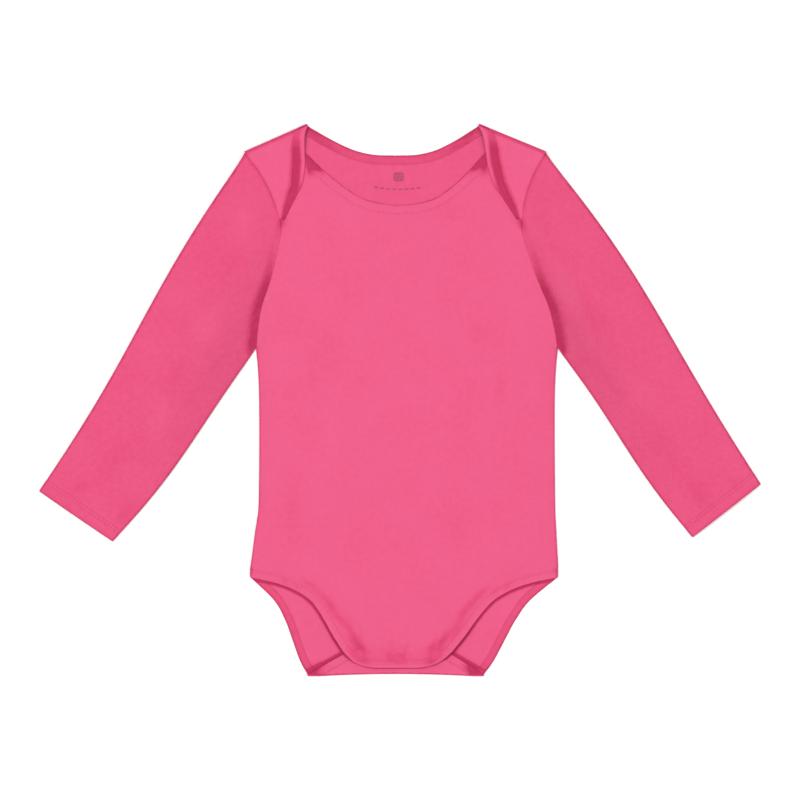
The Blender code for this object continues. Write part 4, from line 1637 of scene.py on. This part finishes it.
def waves(tree, vector, direction, spacing):
    """Ridges at an even spacing across the cut."""
    inputs = {
        "Vector": vector, "Scale": WAVE_UNIT / spacing, "Distortion": RIB_WOBBLE, "Detail": 1.0
    }
    return node(tree, "ShaderNodeTexWave", inputs, bands_direction=direction).outputs["Fac"]


def ranged(tree, value, low, high, out_low=0.0, out_high=1.0):
    """The value carried from one range to another, and held at its ends."""
    inputs = {
        "Value": value, "From Min": low, "From Max": high, "To Min": out_low, "To Max": out_high
    }
    return node(tree, "ShaderNodeMapRange", inputs, clamp=True).outputs["Result"]


def maths(tree, operation, *values):
    """The values taken together, one after another."""
    total = values[0]
    for value in values[1:]:
        inputs = {0: total, 1: value}
        total = node(tree, "ShaderNodeMath", inputs, operation=operation).outputs["Value"]
    return total


def blended(tree, share, first, second):
    """Two colours mixed by a share; each is a plain colour or another node's."""
    made = node(tree, "ShaderNodeMix", {"Factor": share}, data_type="RGBA")
    sockets = [socket for socket in made.inputs if socket.type == "RGBA"]
    for socket, colour in zip(sockets, (first, second)):
        if isinstance(colour, bpy.types.NodeSocket):
            tree.links.new(colour, socket)
        else:
            socket.default_value = (*colour, 1)
    return next(socket for socket in made.outputs if socket.type == "RGBA")


def raised_by(tree, shader, height, distance):
    inputs = {"Strength": BUMP_STRENGTH, "Distance": distance, "Height": height}
    tree.links.new(node(tree, "ShaderNodeBump", inputs).outputs["Normal"], shader.inputs["Normal"])


def finish(name, mix):
    """The finish of this name, made the first time it is asked for.

    mix builds the finish's colour, and its roughness or relief, from the sidebar's colours.
    """
    made = bpy.data.materials.get(name)
    if made is None:
        made = bpy.data.materials.new(name)
        made.use_nodes = True
        shader = made.node_tree.nodes["Principled BSDF"]
        for socket, value in EVEN_VALUES[name].items():
            shader.inputs[socket].default_value = value
        colour = mix(made.node_tree, shader, colours())
        made.node_tree.links.new(colour, shader.inputs["Base Color"])
    return made


def jersey(tree, shader, pick):
    """Fine jersey: soft ribs along the cut, shaded where the cloth sinks or lies under an edge."""
    tone, near = attribute(tree, "tone"), attribute(tree, "near")
    cut = node(tree, "ShaderNodeUVMap", {}, uv_map="cut").outputs["UV"]
    place = place_on_piece(tree)
    mottle = noise(tree, place, *MOTTLE_NOISE)
    broad = noise(tree, place, *BROAD_NOISE)
    ribs = waves(tree, cut, "X", sizes().rib)
    rows = waves(tree, cut, "Y", sizes().rib * ROWS_TO_RIBS)
    knit = maths(tree, "ADD", maths(tree, "MULTIPLY", ribs, RIB_SHARE), rows)
    depth = maths(tree, "ADD", ranged(tree, tone, 0.0, 1.0), ranged(tree, near, *CONTACT))
    depth = maths(tree, "MULTIPLY", depth, ranged(tree, mottle, *DEPTH_MOTTLE))
    uneven = maths(tree, "ADD", ranged(tree, mottle, *MOTTLE), ranged(tree, broad, *BROAD))
    in_knit = ranged(tree, knit, 0.0, 1 + RIB_SHARE, KNIT_SHADE, 0.0)
    shade = maths(tree, "ADD", depth, uneven, in_knit)
    # Painted highlight where the tone is below zero, then painted shade towards the soft and the
    # deep shade colours as the shade grows
    lit = blended(tree, ranged(tree, tone, 0.0, -1.0), pick.jersey, pick.light)
    soft = blended(tree, ranged(tree, shade, 0.0, SOFT_SHADE), lit, pick.soft)
    shader.inputs["Sheen Tint"].default_value = (*pick.light, 1)
    raised_by(tree, shader, knit, KNIT_DEPTH)
    # Painted shade: the deepest shade mixes in the colour of cloth in deep shade
    return blended(tree, ranged(tree, shade, SOFT_SHADE, 1.0), soft, pick.deep_shade)


def thread(tree, shader, pick):
    """Twisted sewing thread, a little uneven in colour."""
    uneven = noise(tree, place_on_piece(tree), *THREAD_NOISE)
    raised_by(tree, shader, uneven, THREAD_DEPTH)
    return blended(tree, ranged(tree, uneven, *MIDDLE_OF_NOISE), pick.thread, pick.deep_shade)


def resin(tree, shader, pick):
    """Satin moulded resin."""
    uneven = noise(tree, place_on_piece(tree), *RESIN_NOISE)
    tree.links.new(ranged(tree, uneven, *RESIN_ROUGHNESS), shader.inputs["Roughness"])
    shade = ranged(tree, uneven, *MIDDLE_OF_NOISE, 0.0, RESIN_SHADE)
    return blended(tree, shade, pick.snap, pick.deep_shade)


def ink(tree, shader, pick):
    """Soft ink pressed into the knit, so that the knit shows through it."""
    worn = ranged(tree, noise(tree, place_on_piece(tree), *INK_NOISE), *INK_WEAR)
    return blended(tree, worn, pick.ink, pick.jersey)


def board(tree, shader, pick):
    """Matt white board, very faintly uneven."""
    faint = ranged(tree, noise(tree, place_on_piece(tree), *BOARD_NOISE), *BOARD_UNEVENNESS)
    return blended(tree, faint, pick.floor, [BOARD_GREY * value for value in pick.floor])


# Stage

def make_floor_board():
    deselect()
    bpy.ops.mesh.primitive_plane_add(size=sizes().floor)
    floor = bpy.context.object
    floor.name = floor.data.name = "floor"
    bpy.ops.object.mode_set(mode="EDIT")
    bpy.ops.mesh.select_all(action="SELECT")
    extruded(-FLOOR_DEPTH)
    bpy.ops.object.mode_set(mode="OBJECT")
    floor.data.materials.append(finish("pale_floor", board))


def aimed(place):
    """The turn that points a light or a camera from its place at the middle of the garment."""
    return (-Vector(place)).to_track_quat("-Z", "Y").to_euler()


def make_lights():
    for lamp in LAMPS:
        bpy.ops.object.light_add(type="AREA", location=lamp.place, rotation=aimed(lamp.place))
        light = bpy.context.object
        light.name = light.data.name = lamp.name
        light.data.shape = "DISK"
        light.data.size = lamp.size
        light.data.energy = lamp.power
    world = bpy.data.worlds.new("soft_room")
    world.use_nodes = True
    world.node_tree.nodes["Background"].inputs["Color"].default_value = (1, 1, 1, 1)
    world.node_tree.nodes["Background"].inputs["Strength"].default_value = ROOM_LIGHT
    bpy.context.scene.world = world
    bpy.context.scene.view_settings.view_transform = "Standard"


def make_camera():
    bpy.ops.object.camera_add(location=(0, 0, CAMERA_HEIGHT), rotation=(0, 0, 0))
    camera = bpy.context.object
    camera.data.lens = CAMERA_LENS
    camera.data.sensor_width = CAMERA_SENSOR
    bpy.context.scene.camera = camera


# Add-on

def length_property(name, description, default, least, precision=4):
    return FloatProperty(
        name=name, description=description, default=default, min=least, precision=precision,
        subtype="DISTANCE", unit="LENGTH",
    )


def colour_property(name, description, default):
    return FloatVectorProperty(
        name=name, description=description, default=default, min=0, max=1, subtype="COLOR"
    )


class BodysuitSizes(bpy.types.PropertyGroup):
    wall: length_property("Cloth", "Thickness of two layers of jersey at a band", 0.001, 0.0005)
    rib: length_property("Rib", "Spacing of the ribs of the knit", 0.0009, 0.0003)
    stitch: length_property("Stitch", "Length of one stitch", 0.0024, 0.001)
    stitch_gap: length_property("Stitch gap", "Cloth between two stitches", 0.0006, 0.0)
    thread: length_property("Thread", "Thickness of the sewing thread", 0.00032, 0.0001, 5)
    snap: length_property("Snap", "Diameter of a snap", 0.0084, 0.004)
    floor: length_property("Floor", "Width of the surface that the bodysuit lies on", 4.0, 1.0)


class BodysuitColours(bpy.types.PropertyGroup):
    jersey: colour_property("Jersey", "Open cloth", (0.722, 0.098, 0.219))
    # Painted highlight: a lit copy of the jersey colour, mixed in where the tone is below zero, on
    # rolled edges, ridges, the laps and the tab; the sheen is tinted with it too
    light: colour_property("Raised jersey", "Rolled edges and the inside", (0.80, 0.125, 0.27))
    soft: colour_property("Shaded jersey", "Softly shaded cloth", (0.680, 0.070, 0.174))
    # Painted shade: the colour cloth is given where it lies deep in a crease, a channel, a nook or
    # under an edge; thread and resin take it for their darker flecks
    deep_shade: colour_property("Sunk jersey", "Cloth in a deep crease", (0.48, 0.027, 0.095))
    thread: colour_property("Thread", "Sewing thread", (0.66, 0.07, 0.17))
    snap: colour_property("Snaps", "Resin of the snaps", (0.66, 0.054, 0.158))
    ink: colour_property("Neck mark", "Ink of the plain mark in the neck", (0.33, 0.024, 0.075))
    floor: colour_property("Floor", "Surface below", (0.95, 0.95, 0.95))


def sizes():
    return bpy.context.scene.bodysuit_sizes


def colours():
    return bpy.context.scene.bodysuit_colours


def fits_cut(piece, slot, stands_for):
    """Fixes a cloth piece to the body, and hides the fixed piece that it stands for."""
    belongs(piece, slot, stands_for)


class BODYSUIT_OT_stage(bpy.types.Operator):
    """Sets the pale surface, the soft lights and the camera straight above"""

    bl_idname = "bodysuit.stage"
    bl_label = "Stage"

    def execute(self, context):
        make_floor_board()
        make_lights()
        make_camera()
        return {"FINISHED"}


class BODYSUIT_OT_back(bpy.types.Operator):
    """Cuts the back, with its laps turned over the shoulders and its tab turned up"""

    bl_idname = "bodysuit.back"
    bl_label = "Back"

    def execute(self, context):
        mark = neck_mark()
        piece = cloth("cloth_back", back_layers())
        fits_cut(piece, "jersey", "back_panel")
        return {"FINISHED"}


class BODYSUIT_OT_front(bpy.types.Operator):
    """Cuts the front and lays it on the back"""

    bl_idname = "bodysuit.front"
    bl_label = "Front"

    def execute(self, context):
        piece = cloth("cloth_front", front_layers())
        fits_cut(piece, "jersey", "front_panel")
        return {"FINISHED"}


class BODYSUIT_OT_sleeves(bpy.types.Operator):
    """Makes both sleeves, flattened tubes with a turned and stitched hem"""

    bl_idname = "bodysuit.sleeves"
    bl_label = "Sleeves"

    def execute(self, context):
        for name, side in SIDES.items():
            piece = cloth(f"cloth_sleeve_{name}", sleeve_layers(side))
            hem = sleeve_stitches(name)
            fits_cut(piece, "jersey", f"sleeve_{name}")
        return {"FINISHED"}


class BODYSUIT_OT_bands(bpy.types.Operator):
    """Binds the neck, the laps and the leg openings, and stitches the bands down"""

    bl_idname = "bodysuit.bands"
    bl_label = "Bands"

    def execute(self, context):
        back, front = back_stitches(), front_stitches()
        bands = (
            ("neck", "back", neck_band_back_layers(), "cloth_back", []),
            ("neck", "front", neck_band_front_layers(), "cloth_back", []),
            ("leg", "back", leg_band_back_layers(), "floor", [back]),
            ("leg", "front", leg_band_front_layers(), "cloth_back", [front]),
        )
        for opening, panel_name, layers, below, with_pieces in bands:
            piece = cloth(f"band_{opening}_{panel_name}", layers)
            fits_cut(piece, "band", f"{opening}_band_{panel_name}")
        return {"FINISHED"}


class BODYSUIT_OT_snaps(bpy.types.Operator):
    """Sets the three snaps: caps on the front, and sockets on the tab below"""

    bl_idname = "bodysuit.snaps"
    bl_label = "Snaps"

    def execute(self, context):
        three_snap_halves("snap_top", "snap_cap", CAP_HEIGHT, CAP_STEPS, on_front)
        three_snap_halves("snap_ring", "snap_socket", SOCKET_HEIGHT, SOCKET_STEPS, over_tab)
        return {"FINISHED"}


class BODYSUIT_PT_panel(bpy.types.Panel):
    """The steps that make the bodysuit, with its sizes and colours"""

    bl_label = "Baby bodysuit"
    bl_idname = "BODYSUIT_PT_panel"
    bl_space_type = "VIEW_3D"
    bl_region_type = "UI"
    bl_category = "Bodysuit"

    def draw(self, context):
        for step in STEPS:
            self.layout.operator(step.bl_idname)
        for group in (sizes(), colours()):
            box = self.layout.box()
            for name in group.__annotations__:
                box.prop(group, name)


STEPS = (
    BODYSUIT_OT_stage, BODYSUIT_OT_back, BODYSUIT_OT_front, BODYSUIT_OT_sleeves,
    BODYSUIT_OT_bands, BODYSUIT_OT_snaps,
)
CLASSES = (BodysuitSizes, BodysuitColours, *STEPS, BODYSUIT_PT_panel)


def register():
    for entry in CLASSES:
        bpy.utils.register_class(entry)
    bpy.types.Scene.bodysuit_sizes = PointerProperty(type=BodysuitSizes)
    bpy.types.Scene.bodysuit_colours = PointerProperty(type=BodysuitColours)


def unregister():
    del bpy.types.Scene.bodysuit_colours
    del bpy.types.Scene.bodysuit_sizes
    for entry in reversed(CLASSES):
        bpy.utils.unregister_class(entry)


def main():
    register()
    bpy.ops.bodysuit.stage()
    bpy.ops.bodysuit.back()
    bpy.ops.bodysuit.front()
    bpy.ops.bodysuit.sleeves()
    bpy.ops.bodysuit.bands()
    bpy.ops.bodysuit.snaps()


if __name__ == "__main__":
    main()
